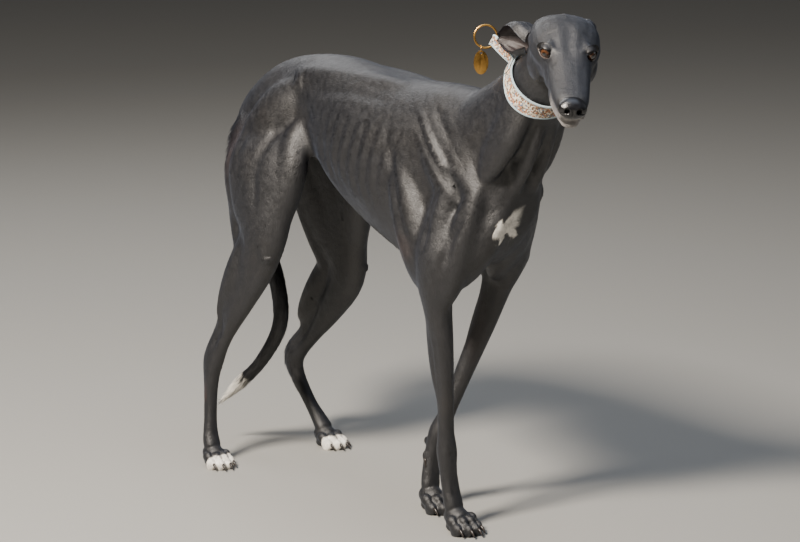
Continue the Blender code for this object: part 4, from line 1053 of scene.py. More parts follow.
def marks_of(points, normals):
    """White, frosted, sparse-haired (with one patch of painted sunlight), and bare at each point, from 0 to 1."""
    ahead, left, up = head_place(points).T
    forward, side, height = -points[:, 1], points[:, 0], points[:, 2]
    across = side * math.cos(BREAST_TURN) + forward * math.sin(BREAST_TURN)
    star = depth_inside(across - BREAST_STAR_MIDDLE[0], height - BREAST_STAR_MIDDLE[1], BREAST_STAR)
    white = step(star, -0.0016, 0.0016) * (forward > 0.22) * (normals[:, 1] < 0.25) * (side < 0.06)
    gap, share = along_guide(points, GUIDES["tail"][0])[::2]
    white = np.maximum(white, step(share, TAIL_WHITE_FROM - 0.02, TAIL_WHITE_FROM + 0.02) * (gap < 0.03))
    for name in ("hind_right", "hind_left"):
        paw_forward, paw_left = PAWS[name][:2]
        reach = forward - paw_forward
        beside_paw = (np.abs(side - paw_left) < 0.05) & (np.abs(reach) < 0.07)
        white = np.maximum(white, step(reach + 0.35 * (0.02 - height), 0.012, 0.024) * beside_paw
                           * step(height, 0.030, 0.020))
    white = np.maximum(white, belly_tuft(points, normals))
    lips = step(ahead, 0.170, 0.228) * step(up - 0.06 * (ahead - 0.24), -0.010, -0.020)
    flank = step(ahead, 0.165, 0.215) * step(up, 0.004, -0.012) * 0.55
    chin = step(ahead, 0.150, 0.215) * step(up, -0.024, -0.032) * 0.9
    in_head = head_share(points)
    own = np.stack([ahead, np.abs(left), up], 1)
    gap = along_guide(own, np.array(smooth_rows(MOUTH_LINE, 4)))[0]
    frost = np.maximum(np.maximum(lips, flank), chin) * in_head * (0.12 + 0.88 * step(gap, 0.0016, 0.0042))
    thin = 0.8 * near(points, 0.110, -0.075, 0.470, (0.060, 0.060, 0.040))
    thin = np.maximum(thin, 0.7 * near(points, 0.060, 0.0, 0.430, (0.075, 0.160, 0.045)))
    thin = np.maximum(thin, 0.6 * near(points, -0.365, -0.080, 0.560, (0.050, 0.040, 0.090)))
    # The inside of the left forearm: sparse hair, and the brown on it is painted sunlight.
    thin = np.maximum(thin, 0.6 * near(points, 0.150, 0.045, 0.330, (0.025, 0.030, 0.100)))
    thin = np.maximum(thin, 0.5 * near(points, -0.160, 0.0, 0.560, (0.080, 0.120, 0.070)) * (normals[:, 2] < 0.2))
    bare = near(points, -0.190, -0.012, 0.552, (0.030, 0.040, 0.022)) * 0.9
    bare = np.maximum(bare, 0.9 * near(points, -0.384, -0.140, 0.128, (0.012, 0.006, 0.018)))
    for name in EARS:
        gap, tangent, share, foot = along_guide(points, GUIDES[name][0])
        outward = points - foot
        outward /= np.maximum(np.linalg.norm(outward, axis=1), 1e-9)[:, None]
        inner = step((normals * outward).sum(1), -0.05, -0.45) * step(gap, 0.034, 0.028)
        bare = np.maximum(bare, inner * (0.75 - 0.35 * share))
    return white, frost, np.clip(thin, 0, 1), np.clip(bare, 0, 1)


MARK_NAMES = ("white", "frost", "thin", "bare")


def write_attribute(obj, name, values):
    """A number, or three, for each point of a mesh, that its material can read."""
    values = np.asarray(values, dtype=np.float32)
    kind = "FLOAT_VECTOR" if values.ndim == 2 else "FLOAT"
    layer = obj.data.attributes.new(name, kind, "POINT")
    layer.data.foreach_set("vector" if values.ndim == 2 else "value", np.ascontiguousarray(values).ravel())


skin_points, skin_normals = points_of(skin), normals_of(skin)
skin_lie, skin_region = lie_of(skin_points, skin_normals)
for mark_name, mark in zip(MARK_NAMES, marks_of(skin_points, skin_normals)):
    write_attribute(skin, mark_name, mark)
    print(mark_name, round(float(mark.mean()), 4))

# %% [markdown]
# A grain that follows the lie needs to know how a point sits across it and along it. Three axes do for the whole
# dog: on the trunk hair runs from front to back, on the legs from top to bottom, and on the head along the muzzle.
# Each has its own stretched noise, and two attributes fade one into the next.

# %% Short black coat
COAT_BLACK = "#0c0c0f"
COAT_WORN = "#14110f"
COAT_WHITE = "#d9d5cc"
FROST_GREY = "#8e8a87"
# Brown of skin through sparse hair; on the inside of the left forearm the same brown is painted sunlight.
THIN_AND_SUNLIT_BROWN = "#2b201d"
BARE_PINK = "#2e201e"
HAIR_ACROSS = 900.0        # strands a metre in the grain, coarser than the real 12 a millimetre, so that it shows
HAIR_STRETCH = 9.0         # a strand's length to its width in the grain

leg_share = np.isin(skin_region, [list(GUIDES).index(name) for name in (*LEG_PATHS, "neck", "tail")]).astype(float)


def soften_on(obj, values, rounds=12):
    """An attribute evened out along the mesh's edges."""
    edges = np.empty(len(obj.data.edges) * 2, dtype=np.int64)
    obj.data.edges.foreach_get("vertices", edges)
    a, b = edges.reshape(-1, 2).T
    count = np.bincount(a, minlength=len(values)) + np.bincount(b, minlength=len(values)) + 1
    for _ in range(rounds):
        total = values + np.bincount(a, values[b], len(values)) + np.bincount(b, values[a], len(values))
        values = total / count
    return values


write_attribute(skin, "upright", soften_on(skin, leg_share))
write_attribute(skin, "muzzle", soften_on(skin, head_share(skin_points)))


def stretched_noise(material, place_output, scale, turn=(0, 0, 0), detail=3.0):
    """Noise on object coordinates whose blobs are longer along one axis."""
    mapping = add_node(material, "ShaderNodeMapping", {"Vector": place_output}, {"Scale": scale, "Rotation": turn})
    return add_node(material, "ShaderNodeTexNoise", {"Vector": mapping.outputs["Vector"]},
                    {"Scale": 1.0, "Detail": detail, "Roughness": 0.6}).outputs["Fac"]


def mixed(material, share, low, high):
    """One number from two, by a share."""
    node = add_node(material, "ShaderNodeMix", values={}, data_type="FLOAT")
    for socket, source in (("Factor", share), ("A", low), ("B", high)):
        index = {"Factor": 0, "A": 2, "B": 3}[socket]
        if isinstance(source, (int, float)):
            node.inputs[index].default_value = source
        else:
            material.node_tree.links.new(source, node.inputs[index])
    return node.outputs[0]


def mixed_colour(material, share, low, high):
    """One colour from two, by a share. A colour is a hex value or an output."""
    node = add_node(material, "ShaderNodeMix", data_type="RGBA")
    if isinstance(share, (int, float)):
        node.inputs[0].default_value = share
    else:
        material.node_tree.links.new(share, node.inputs[0])
    for index, source in ((6, low), (7, high)):
        if isinstance(source, str):
            node.inputs[index].default_value = linear(source)
        else:
            material.node_tree.links.new(source, node.inputs[index])
    return node.outputs[2]


def number(material, operation, *sources, clamp=False):
    """One Math node. A source is a number or an output."""
    node = add_node(material, "ShaderNodeMath", operation=operation, use_clamp=clamp)
    for index, source in enumerate(sources):
        if isinstance(source, (int, float)):
            node.inputs[index].default_value = source
        else:
            material.node_tree.links.new(source, node.inputs[index])
    return node.outputs[0]


def attribute(material, name):
    return add_node(material, "ShaderNodeAttribute", attribute_name=name)


def scaled(material, value, factor, offset):
    """A value times a factor, plus an offset."""
    return number(material, "ADD", number(material, "MULTIPLY", value, factor), offset)


def own_place(material):
    return add_node(material, "ShaderNodeTexCoord").outputs["Object"]


def bumped(material, shader, height, strength, distance, **settings):
    """Fine relief on a finish, with its height in metres."""
    bump = add_node(material, "ShaderNodeBump", {"Height": height}, {"Strength": strength, "Distance": distance},
                    **settings)
    join(material, bump.outputs["Normal"], shader, "Normal")


def coat_colour(material, speckle, patch):
    """Black coat with its marks. Speckle breaks the edges of the marks, and patch is where the black has faded."""
    white, frost, thin, bare = (attribute(material, name).outputs["Fac"] for name in MARK_NAMES)
    ragged = number(material, "MULTIPLY", number(material, "SUBTRACT", speckle, 0.5), 5.0)

    def edge(mark, softness):
        border = number(material, "MULTIPLY", mark, number(material, "SUBTRACT", 1.0, mark))
        raised = number(material, "ADD", mark, number(material, "MULTIPLY", border, ragged))
        return number(material, "MULTIPLY", number(material, "SUBTRACT", raised, 0.5 - softness / 2), 1 / softness,
                      clamp=True)

    worn = number(material, "MULTIPLY", number(material, "SUBTRACT", patch, 0.5), 3.0, clamp=True)
    colour = mixed_colour(material, worn, COAT_BLACK, COAT_WORN)
    # Brown where the hair is sparse, which on the inside of the left forearm is painted sunlight.
    colour = mixed_colour(material, number(material, "MULTIPLY", thin, 0.75), colour, THIN_AND_SUNLIT_BROWN)
    colour = mixed_colour(material, bare, colour, BARE_PINK)
    colour = mixed_colour(material, number(material, "MULTIPLY", edge(frost, 0.7), 0.85), colour, FROST_GREY)
    return mixed_colour(material, edge(white, 0.35), colour, COAT_WHITE)


def make_coat_skin():
    """Short, close, oily hair over skin. Its sheen is streaky along the hair, and bluish where it meets the sky."""
    material, shader = new_material("short black coat over skin")
    where = own_place(material)
    across, along = HAIR_ACROSS, HAIR_ACROSS / HAIR_STRETCH
    head_turn = head_matrix().to_3x3().inverted().to_euler()
    trunk = stretched_noise(material, where, (across, along, across))
    leg = stretched_noise(material, where, (across, across, along))
    muzzle = stretched_noise(material, where, (across * 1.4, along * 1.4, across * 1.4), tuple(head_turn))
    grain = mixed(material, attribute(material, "upright").outputs["Fac"], trunk, leg)
    grain = mixed(material, attribute(material, "muzzle").outputs["Fac"], grain, muzzle)
    patch = add_node(material, "ShaderNodeTexNoise", {"Vector": where},
                     {"Scale": 9.0, "Detail": 4.0, "Roughness": 0.55}).outputs["Fac"]
    colour = coat_colour(material, grain, patch)
    clumps = add_node(material, "ShaderNodeTexNoise", {"Vector": where},
                      {"Scale": 85.0, "Detail": 3.0, "Roughness": 0.5}).outputs["Fac"]
    streaks = number(material, "SUBTRACT", number(material, "ADD", number(material, "MULTIPLY", grain, 1.8),
                                                  number(material, "MULTIPLY", clumps, 1.4)), 0.55)
    shade = number(material, "MAXIMUM", streaks, 0.1)
    tinted = add_node(material, "ShaderNodeVectorMath", {0: colour}, operation="SCALE")
    join(material, shade, tinted, "Scale")
    join(material, tinted.outputs[0], shader, "Base Color")
    join(material, scaled(material, clumps, 0.32, 0.34), shader, "Roughness")
    soft = add_node(material, "ShaderNodeBump", {"Height": clumps}, {"Strength": 0.45, "Distance": 0.0022})
    bump = add_node(material, "ShaderNodeBump", {"Height": grain, "Normal": soft.outputs["Normal"]},
                    {"Strength": 0.9, "Distance": 0.0008})
    join(material, bump.outputs["Normal"], shader, "Normal")
    shader.inputs["Specular IOR Level"].default_value = 0.70
    shader.inputs["Sheen Weight"].default_value = 0.08
    shader.inputs["Sheen Roughness"].default_value = 0.45
    shader.inputs["Sheen Tint"].default_value = linear("#9fb2d6")
    return material


coat_skin = make_coat_skin()
print("finish", coat_skin.name, len(coat_skin.node_tree.nodes), "nodes")

# %% [markdown]
# Over the skin go the hairs that the eye can part: small tapered blades, each a closed solid of ten faces, rooted
# under the skin and lying back along the lie. They are densest and smallest on the head, longer on the neck, the
# buttocks and under the tail. A seeded draw spreads them, and each region is a mesh of its own.

# %% Hair
HAIR_SEED = 20
HAIR_SINK = 0.0004
LID_REACH = 0.0125         # no hair grows this near to the middle of an eye
FEW = 1.0
# region: guides, number of hairs, length, width, lift in degrees
HAIR_REGIONS = {
    "hair_head": (("head", "ear_right", "ear_left"), 19400, 0.0046, 0.00045, 5),
    "hair_neck": (("neck",), 14000, 0.0090, 0.00070, 3),
    "hair_trunk_right": (("trunk",), 19400, 0.0100, 0.00075, 2.5),
    "hair_trunk_left": (("trunk",), 19400, 0.0100, 0.00075, 2.5),
    "hair_forelegs": (("fore_right", "fore_left"), 18000, 0.0068, 0.00060, 3),
    "hair_hindlegs": (("hind_right", "hind_left"), 19400, 0.0078, 0.00070, 3),
    "hair_tail": (("tail",), 6500, 0.0125, 0.00080, 6),
}


def skin_triangles(obj):
    """The skin's triangles as point numbers, with their areas."""
    obj.data.calc_loop_triangles()
    corners = np.empty(len(obj.data.loop_triangles) * 3, dtype=np.int64)
    obj.data.loop_triangles.foreach_get("vertices", corners)
    corners = corners.reshape(-1, 3)
    a, b, c = (skin_points[corners[:, k]] for k in range(3))
    return corners, np.linalg.norm(np.cross(b - a, c - a), axis=1) / 2


def hair_size(points, normals, length, width, lift):
    """Length, width and lift of each hair, from where it grows."""
    count = len(points)
    ahead = head_place(points)[:, 0]
    forward, height = -points[:, 1], points[:, 2]
    longer = np.ones(count)
    raised = np.zeros(count)
    buttock = sum(near(points, -0.395, left, 0.540, (0.05, 0.05, 0.13)) for left in (-0.07, 0.07))
    longer += 0.7 * buttock
    raised += 12 * buttock
    under_tail = step(forward, -0.40, -0.43) * step(height, 0.62, 0.56)
    longer += 0.5 * under_tail
    raised += 7 * under_tail
    belly = step(normals[:, 2], -0.5, -0.9) * step(height, 0.40, 0.44) * (forward < 0.2)
    longer += 0.3 * belly
    raised += 8 * belly
    tuft = belly_tuft(points, normals)
    longer += 1.6 * tuft
    raised += 25 * tuft
    foot = step(height, 0.075, 0.045)
    longer -= 0.45 * foot
    face = head_share(points) * step(ahead, 0.09, 0.16)
    longer -= 0.35 * face
    return length * longer, width * (0.7 + 0.3 * longer), lift + raised


def hair_mesh(name, roots, normals, lie, lengths, widths, lifts, chart):
    """One closed blade at each root: three points at the root, three at the middle and a tip."""
    count = len(roots)
    across = np.cross(lie, normals)
    tilt = np.radians(lifts)[:, None]
    rise = lie * np.cos(tilt) + normals * np.sin(tilt)
    lay = lie * np.cos(tilt * 0.35) + normals * np.sin(tilt * 0.35)
    base = roots - normals * HAIR_SINK
    middle = base + rise * (lengths * 0.5)[:, None]
    tip = middle + lay * (lengths * 0.5)[:, None]
    half, thick = widths[:, None] / 2, widths[:, None] * 0.35
    points = np.stack([base + across * half, base + normals * thick, base - across * half,
                       middle + across * half * 0.8, middle + normals * thick * 0.8, middle - across * half * 0.8,
                       tip], axis=1)
    pattern = np.array([[0, 1, 2], [0, 3, 4], [0, 4, 1], [1, 4, 5], [1, 5, 2], [2, 5, 3], [2, 3, 0],
                        [3, 6, 4], [4, 6, 5], [5, 6, 3]])
    faces = (pattern[None] + 7 * np.arange(count)[:, None, None]).reshape(-1, 3)
    mesh = bpy.data.meshes.new(name)
    mesh.vertices.add(count * 7)
    mesh.vertices.foreach_set("co", points.reshape(-1))
    mesh.loops.add(len(faces) * 3)
    mesh.loops.foreach_set("vertex_index", faces.reshape(-1).astype(np.int32))
    mesh.polygons.add(len(faces))
    mesh.polygons.foreach_set("loop_start", np.arange(0, len(faces) * 3, 3, dtype=np.int32))
    mesh.update(calc_edges=True)
    patch = np.array([[-1, -1], [0, -1], [1, -1], [-1, 0.4], [0, 0.4], [1, 0.4], [0, 1]]) * 0.0015
    corners = (chart[:, None, :] + patch[None]).reshape(-1, 2)
    layer = mesh.uv_layers.new(name="OFBake")
    layer.data.foreach_set("uv", corners[faces.reshape(-1)].reshape(-1).astype(np.float32))
    return new_object(name, mesh)


def charted(points, guides):
    """Each root's place on the skin unrolled round its guide: the angle round it and the way along it."""
    chart = np.zeros((len(points), 2))
    nearest = np.full(len(points), 9.0)
    for number_of, name in enumerate(guides):
        gap, tangent, share, foot = along_guide(points, GUIDES[name][0])
        closer = gap < nearest
        ring = points - foot
        ahead = np.cross(tangent, (1.0, 0.0, 0.0))
        third = np.cross(tangent, ahead)
        angle = np.arctan2((ring * ahead).sum(1), (ring * third).sum(1)) / (2 * math.pi) + 0.5
        low, wide = number_of / len(guides), 1 / len(guides)
        chart[closer, 0] = (low + wide * (0.01 + 0.98 * angle))[closer]
        chart[closer, 1] = (0.01 + 0.98 * share)[closer]
        nearest[closer] = gap[closer]
    return chart


def make_hair(name, material):
    guides, count, length, width, lift = HAIR_REGIONS[name]
    wanted = [list(GUIDES).index(guide) for guide in guides]
    here = np.isin(skin_region[skin_corners[:, 0]], wanted)
    side = skin_points[skin_corners[:, 0], 0]
    if name.endswith("_right"):
        here &= side < 0
    if name.endswith("_left"):
        here &= side >= 0
    weight = np.where(here, skin_areas, 0)
    if name == "hair_head":
        first = skin_points[skin_corners[:, 0]]
        weight = weight * (1 + 1.2 * step(head_place(first)[:, 0], 0.05, 0.15)) * (1 - near_eyes(first, LID_REACH))
        weight = weight * (1 - nose_cover(first))
    weight = weight * (1 - 0.85 * skin_bare[skin_corners[:, 0]]) * (skin_points[skin_corners[:, 0], 2] > 0.006)
    picks = rng.choice(len(weight), int(count * FEW), p=weight / weight.sum())
    shares = rng.dirichlet((1, 1, 1), len(picks))
    corners = skin_corners[picks]
    roots = (skin_points[corners] * shares[:, :, None]).sum(1)
    normals = (skin_normals[corners] * shares[:, :, None]).sum(1)
    normals /= np.linalg.norm(normals, axis=1)[:, None]
    lie = (skin_lie[corners] * shares[:, :, None]).sum(1)
    swerve = rng.normal(0, 0.13, len(roots))[:, None]
    lie = lie + np.cross(lie, normals) * swerve
    lie -= normals * (lie * normals).sum(1)[:, None]
    lie /= np.maximum(np.linalg.norm(lie, axis=1), 1e-6)[:, None]
    lengths, widths, lifts = hair_size(roots, normals, length, width, lift)
    vary = rng.uniform(0.65, 1.25, len(roots))
    hair = hair_mesh(name, roots, normals, lie, lengths * vary, widths, lifts * rng.uniform(0.5, 1.4, len(roots)),
                     charted(roots, guides))
    for mark_name, mark in zip(MARK_NAMES, marks_of(roots, normals)):
        write_attribute(hair, mark_name, np.repeat(mark, 7))
    write_attribute(hair, "own", np.repeat(rng.uniform(0, 1, len(roots)), 7))
    hair.data.transform(Matrix.Translation(SHIFT))
    finish_piece(hair, material, "coat")
    hair.data.normals_split_custom_set_from_vertices(np.repeat(normals, 7, axis=0))
    return hair


def near_eyes(points, radius):
    """1 inside the lids, 0 past them."""
    turn = head_matrix()
    covered = np.zeros(len(points))
    for side in (-1, 1):
        middle = np.array((turn @ eye_matrix(side) @ Matrix.Translation((0, -EYE_RADIUS, 0))).translation)
        covered = np.maximum(covered, step(np.linalg.norm(points - middle, axis=1), radius + 0.002, radius))
    return covered


def nose_cover(points):
    """1 under the nose leather, 0 on the hairy muzzle."""
    own = (head_place(points) - np.array(NOSE_MIDDLE)) / (np.array(NOSE_HALF) + 0.0006)
    return step(np.linalg.norm(own, axis=1), 1.06, 0.98)


def make_hair_finish():
    """The same black as the skin, a little lighter or darker from hair to hair, and glossy along its length."""
    material, shader = new_material("black guard hair")
    own = attribute(material, "own").outputs["Fac"]
    where = own_place(material)
    patch = add_node(material, "ShaderNodeTexNoise", {"Vector": where},
                     {"Scale": 9.0, "Detail": 4.0, "Roughness": 0.55}).outputs["Fac"]
    colour = coat_colour(material, own, patch)
    tinted = add_node(material, "ShaderNodeVectorMath", {0: colour}, operation="SCALE")
    join(material, scaled(material, own, 0.9, 0.6), tinted, "Scale")
    join(material, tinted.outputs[0], shader, "Base Color")
    shader.inputs["Roughness"].default_value = 0.42
    shader.inputs["Specular IOR Level"].default_value = 0.50
    shader.inputs["Sheen Weight"].default_value = 0.05
    shader.inputs["Sheen Tint"].default_value = linear("#9fb2d6")
    return material


NOSE_MIDDLE = (0.2465, 0.0, 0.0035)
NOSE_HALF = (0.0140, 0.0222, 0.0168)

rng = np.random.default_rng(HAIR_SEED)
skin_corners, skin_areas = skin_triangles(skin)
skin_bare = marks_of(skin_points, skin_normals)[3]
hair_finish = make_hair_finish()
hairs = [make_hair(name, hair_finish) for name in HAIR_REGIONS]

FLESH = [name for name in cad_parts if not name.startswith(("eye", "collar", "tag"))]
skin.data.transform(Matrix.Translation(SHIFT))
finish_piece(skin, coat_skin, "coat", *FLESH)
print("hairs", sum(triangle_count(hair) for hair in hairs) // 10)

# %% [markdown]
# The nose is bare leather: a rounded block with a groove down its middle, and nostrils shaped like commas that
# run out to its sides. It starts as a sphere, which is squared a little and then pushed in where air passes.

# %% Nose leather
NOSTRIL_MIDDLE = (0.0092, 0.0030)        # out and up from the nose's middle
NOSTRIL_RADIUS = 0.0044
NOSTRIL_DEPTH = 0.0075
SLIT_END = (0.0190, -0.0035)
SLIT_HALF = 0.0013
SLIT_BOW = 0.0016
SLIT_DEPTH = 0.0035
PHILTRUM_DEPTH = 0.0013
PHILTRUM_HALF = 0.0011


def make_nose():
    bpy.ops.object.select_all(action="DESELECT")
    bpy.ops.mesh.primitive_uv_sphere_add(segments=144, ring_count=96, radius=1)
    nose = bpy.context.object
    nose.name = "nose_leather"
    nose.rotation_euler = (math.radians(90), 0, 0)
    settle(nose)
    unit = points_of(nose)
    ahead, out, up = -unit[:, 1], unit[:, 0], unit[:, 2]
    squared = [np.sign(v) * np.abs(v) ** power for v, power in ((ahead, 0.80), (out, 0.86), (up, 0.84))]
    ahead, out, up = (v * half for v, half in zip(squared, NOSE_HALF))
    out = out * (1 - 0.20 * step(up, 0.0, -0.016)) * (1 - 0.10 * step(up, 0.006, 0.016))
    ahead = ahead - 0.0035 * step(up, 0.006, 0.017) - 0.0030 * step(up, -0.006, -0.017)
    front = step(ahead, 0.0, 0.006)
    gap = np.hypot(np.abs(out) - NOSTRIL_MIDDLE[0], (up - NOSTRIL_MIDDLE[1]) * 0.88)
    hole = step(gap, NOSTRIL_RADIUS, NOSTRIL_RADIUS - 0.0017)
    rim = np.exp(-((gap - NOSTRIL_RADIUS - 0.0013) / 0.0012) ** 2) * 0.0005
    run = np.array(SLIT_END) - np.array(NOSTRIL_MIDDLE)
    beside, above = np.abs(out) - NOSTRIL_MIDDLE[0], up - NOSTRIL_MIDDLE[1]
    share = np.clip((beside * run[0] + above * run[1]) / (run @ run), 0, 1)
    bow = -SLIT_BOW * np.sin(math.pi * share)
    away = np.hypot(beside - share * run[0], above - share * run[1] - bow)
    slit = step(away, SLIT_HALF + 0.0008, SLIT_HALF - 0.0004) * (1 - 0.5 * share)
    groove = np.exp(-(out / PHILTRUM_HALF) ** 2) * step(up, 0.008, 0.0)
    ahead = ahead - front * np.maximum(hole * NOSTRIL_DEPTH, slit * SLIT_DEPTH) + rim * front
    ahead = ahead - step(ahead, 0.0, 0.006) * groove * PHILTRUM_DEPTH
    middle = NOSE_MIDDLE
    set_points(nose, np.stack([out + middle[1], -(ahead + middle[0]), up + middle[2]], 1))
    # The nostrils and their slits, where painted shade goes on the nose's colour.
    write_attribute(nose, "nostril_painted_shade", np.maximum(hole, slit * 0.8) * front)
    nose.data.transform(Matrix.Translation(SHIFT) @ head_matrix())
    return nose


def make_nose_finish():
    """Moist black leather in cobbles about a millimetre across. Each cobble's top is painted lighter and bluish as a
    painted shine, its crevices darker as painted shade, and the nostrils near black as painted shade.
    """
    material, shader = new_material("nose leather")
    where = own_place(material)
    cobbles = add_node(material, "ShaderNodeTexVoronoi", {"Vector": where}, {"Scale": 820.0},
                       feature="SMOOTH_F1")
    cobbles.inputs["Smoothness"].default_value = 0.35
    nostril_painted_shade = attribute(material, "nostril_painted_shade").outputs["Fac"]
    # Painted shine and shade: lighter, bluish middles of the cobbles and darker crevices between them.
    colour = mixed_colour(material, number(material, "MULTIPLY", cobbles.outputs["Distance"], 1.1, clamp=True),
                          "#17171b", "#08080a")
    # Painted shade: the nostrils and their slits are painted near black.
    colour = mixed_colour(material, nostril_painted_shade, colour, "#020202")
    join(material, colour, shader, "Base Color")
    join(material, scaled(material, nostril_painted_shade, 0.35, 0.30), shader, "Roughness")
    bumped(material, shader, cobbles.outputs["Distance"], 0.5, 0.0005, invert=True)
    shader.inputs["Coat Weight"].default_value = 0.20
    shader.inputs["Coat Roughness"].default_value = 0.22
    return material


nose = finish_piece(make_nose(), make_nose_finish(), "coat")

# %% [markdown]
# An eye is a ball with a clear bulge in front. The dog's iris is amber with dark fibres, its edge is dark, and the
# pupil is small in the sun. The colours are drawn by how far a point is from the axis that the eye looks along.

# %% Eyes
CORNEA_RISE = 0.0011
CORNEA_REACH = 0.0085
IRIS_SHARE = 0.68          # of the eyeball's radius
PUPIL_SHARE = 0.27


def make_eye(side, label):
    bpy.ops.object.select_all(action="DESELECT")
    bpy.ops.mesh.primitive_uv_sphere_add(segments=64, ring_count=48, radius=EYE_RADIUS)
    eye = bpy.context.object
    eye.name = "eyeball_" + label
    eye.rotation_euler = (math.radians(90), 0, 0)
    settle(eye)
    bpy.ops.object.mode_set(mode="EDIT")
    bpy.ops.mesh.select_all(action="DESELECT")
    bpy.ops.object.mode_set(mode="OBJECT")
    pole = min(eye.data.vertices, key=lambda v: v.co.y)
    pole.select = True
    bpy.ops.object.mode_set(mode="EDIT")
    bpy.ops.transform.translate(value=(0, -CORNEA_RISE, 0), use_proportional_edit=True,
                                proportional_edit_falloff="SMOOTH", proportional_size=CORNEA_REACH)
    bpy.ops.object.mode_set(mode="OBJECT")
    points = points_of(eye)
    away = np.hypot(points[:, 0], points[:, 2])
    ring = np.stack([points[:, 0] / np.maximum(away, 1e-6), points[:, 2] / np.maximum(away, 1e-6),
                     np.where(points[:, 1] < 0, away / EYE_RADIUS, 1.0)], 1)
    write_attribute(eye, "iris", ring)
    eye.data.transform(Matrix.Translation(SHIFT) @ head_matrix() @ eye_matrix(side))
    return eye


def make_eye_finish():
    """A wet cornea over an amber iris."""
    material, shader = new_material("wet amber eye")
    ring = add_node(material, "ShaderNodeSeparateXYZ", {"Vector": attribute(material, "iris").outputs["Vector"]})
    away = ring.outputs["Z"]
    spread = add_node(material, "ShaderNodeVectorMath", {0: attribute(material, "iris").outputs["Vector"]},
                      {1: (9.0, 9.0, 1.6)}, operation="MULTIPLY")
    fibres = add_node(material, "ShaderNodeTexNoise", {"Vector": spread.outputs[0]},
                      {"Scale": 1.6, "Detail": 4.0, "Roughness": 0.65})
    amber = set_ramp(add_node(material, "ShaderNodeValToRGB", {"Fac": fibres.outputs["Fac"]}),
                     ((0.30, "#2e180c"), (0.50, "#4e301c"), (0.72, "#69482e")))
    rings = set_ramp(add_node(material, "ShaderNodeValToRGB", {"Fac": away}),
                     ((PUPIL_SHARE, 0.0), (PUPIL_SHARE + 0.04, 0.55), (0.42, 1.0), (IRIS_SHARE - 0.06, 0.75),
                      (IRIS_SHARE, 0.05), (0.74, 0.10)))
    iris = add_node(material, "ShaderNodeMix", {6: amber.outputs["Color"], 7: rings.outputs["Color"]},
                    data_type="RGBA", blend_type="MULTIPLY")
    iris.inputs[0].default_value = 1.0
    white = number(material, "GREATER_THAN", away, 0.76)
    colour = mixed_colour(material, white, iris.outputs[2], "#4a3a34")
    join(material, colour, shader, "Base Color")
    shader.inputs["Roughness"].default_value = 0.12
    shader.inputs["Coat Weight"].default_value = 1.0
    shader.inputs["Coat Roughness"].default_value = 0.02
    return material


eye_finish = make_eye_finish()
eyes = [finish_piece(make_eye(side, label), eye_finish, "eye", "eye_" + label)
        for side, label in ((-1, "right"), (1, "left"))]

# %% [markdown]
# The lids are a ring of skin that lies on the eyeball. Its opening is an almond, rounder above than below, and its
# edge is bare, dark above and paler below. It is lofted from sections that run from the eyeball out to the face.

# %% Lids
LID_HALF_WIDTH = 0.0116
LID_TOP = 0.0075
LID_BOTTOM = 0.0063
LID_TILT = math.radians(8)
# how far out from the opening's edge, and how high above the eyeball; then the way back underneath
LID_SECTION = ((0.0, 0.00015), (-0.0002, 0.0009), (0.0003, 0.0016), (0.0012, 0.0021), (0.0026, 0.0023),
               (0.0042, 0.0019), (0.0058, 0.0011), (0.0072, 0.0001), (0.0060, -0.0004), (0.0030, -0.0003))


def make_lids(side, label):
    rings = []
    around = 72
    for k in range(around):
        t = 2 * math.pi * k / around
        x = LID_HALF_WIDTH * math.copysign(abs(math.cos(t)) ** 1.15, math.cos(t))
        z = (LID_TOP if math.sin(t) > 0 else LID_BOTTOM) * math.copysign(abs(math.sin(t)) ** 1.1, math.sin(t))
        z -= side * math.tan(LID_TILT) * x * -1
        edge = Vector((x, 0, z))
        out = Vector((math.cos(t) * LID_TOP, 0, math.sin(t) * LID_HALF_WIDTH)).normalized()
        ring = []
        for reach, rise in LID_SECTION:
            flat = edge + out * reach
            inside = max((EYE_RADIUS + rise) ** 2 - flat.x ** 2 - flat.z ** 2, 1e-7)
            ring.append(Vector((flat.x, -math.sqrt(inside), flat.z)))
        rings.append(ring)
    work = bmesh.new()
    rings = [[work.verts.new(point) for point in ring] for ring in rings]
    size = len(LID_SECTION)
    for low, high in zip(rings, rings[1:] + rings[:1]):
        for i in range(size):
            work.faces.new((low[i], low[(i + 1) % size], high[(i + 1) % size], high[i]))
    lids = mesh_from("lids_" + label, work)
    add_modifier(lids, "SUBSURF", levels=1, render_levels=1)
    apply_modifiers(lids)
    points = points_of(lids)
    rise = np.linalg.norm(points, axis=1) - EYE_RADIUS
    edge = np.hypot(points[:, 0] / LID_HALF_WIDTH, points[:, 2] / LID_TOP)
    write_attribute(lids, "rim", step(edge, 1.34, 1.12))
    write_attribute(lids, "lower", step(points[:, 2], 0.001, -0.003))
    lids.data.transform(Matrix.Translation(SHIFT) @ head_matrix() @ eye_matrix(side))
    return lids


def make_lid_finish():
    """Hairless black skin, moist along its edge and grey below the eye."""
    material, shader = new_material("lid skin")
    rim = attribute(material, "rim").outputs["Fac"]
    lower = attribute(material, "lower").outputs["Fac"]
    where = own_place(material)
    grain = add_node(material, "ShaderNodeTexNoise", {"Vector": where}, {"Scale": 900.0, "Detail": 3.0})
    grey = mixed_colour(material, number(material, "MULTIPLY", lower, grain.outputs["Fac"]), "#0e0d0f", "#8b837d")
    colour = mixed_colour(material, number(material, "MULTIPLY", rim, 0.8), grey,
                          mixed_colour(material, lower, "#080607", "#5b4f4b"))
    join(material, colour, shader, "Base Color")
    join(material, number(material, "SUBTRACT", 0.5, number(material, "MULTIPLY", rim, 0.25)), shader, "Roughness")
    bumped(material, shader, grain.outputs["Fac"], 0.5, 0.0003)
    return material


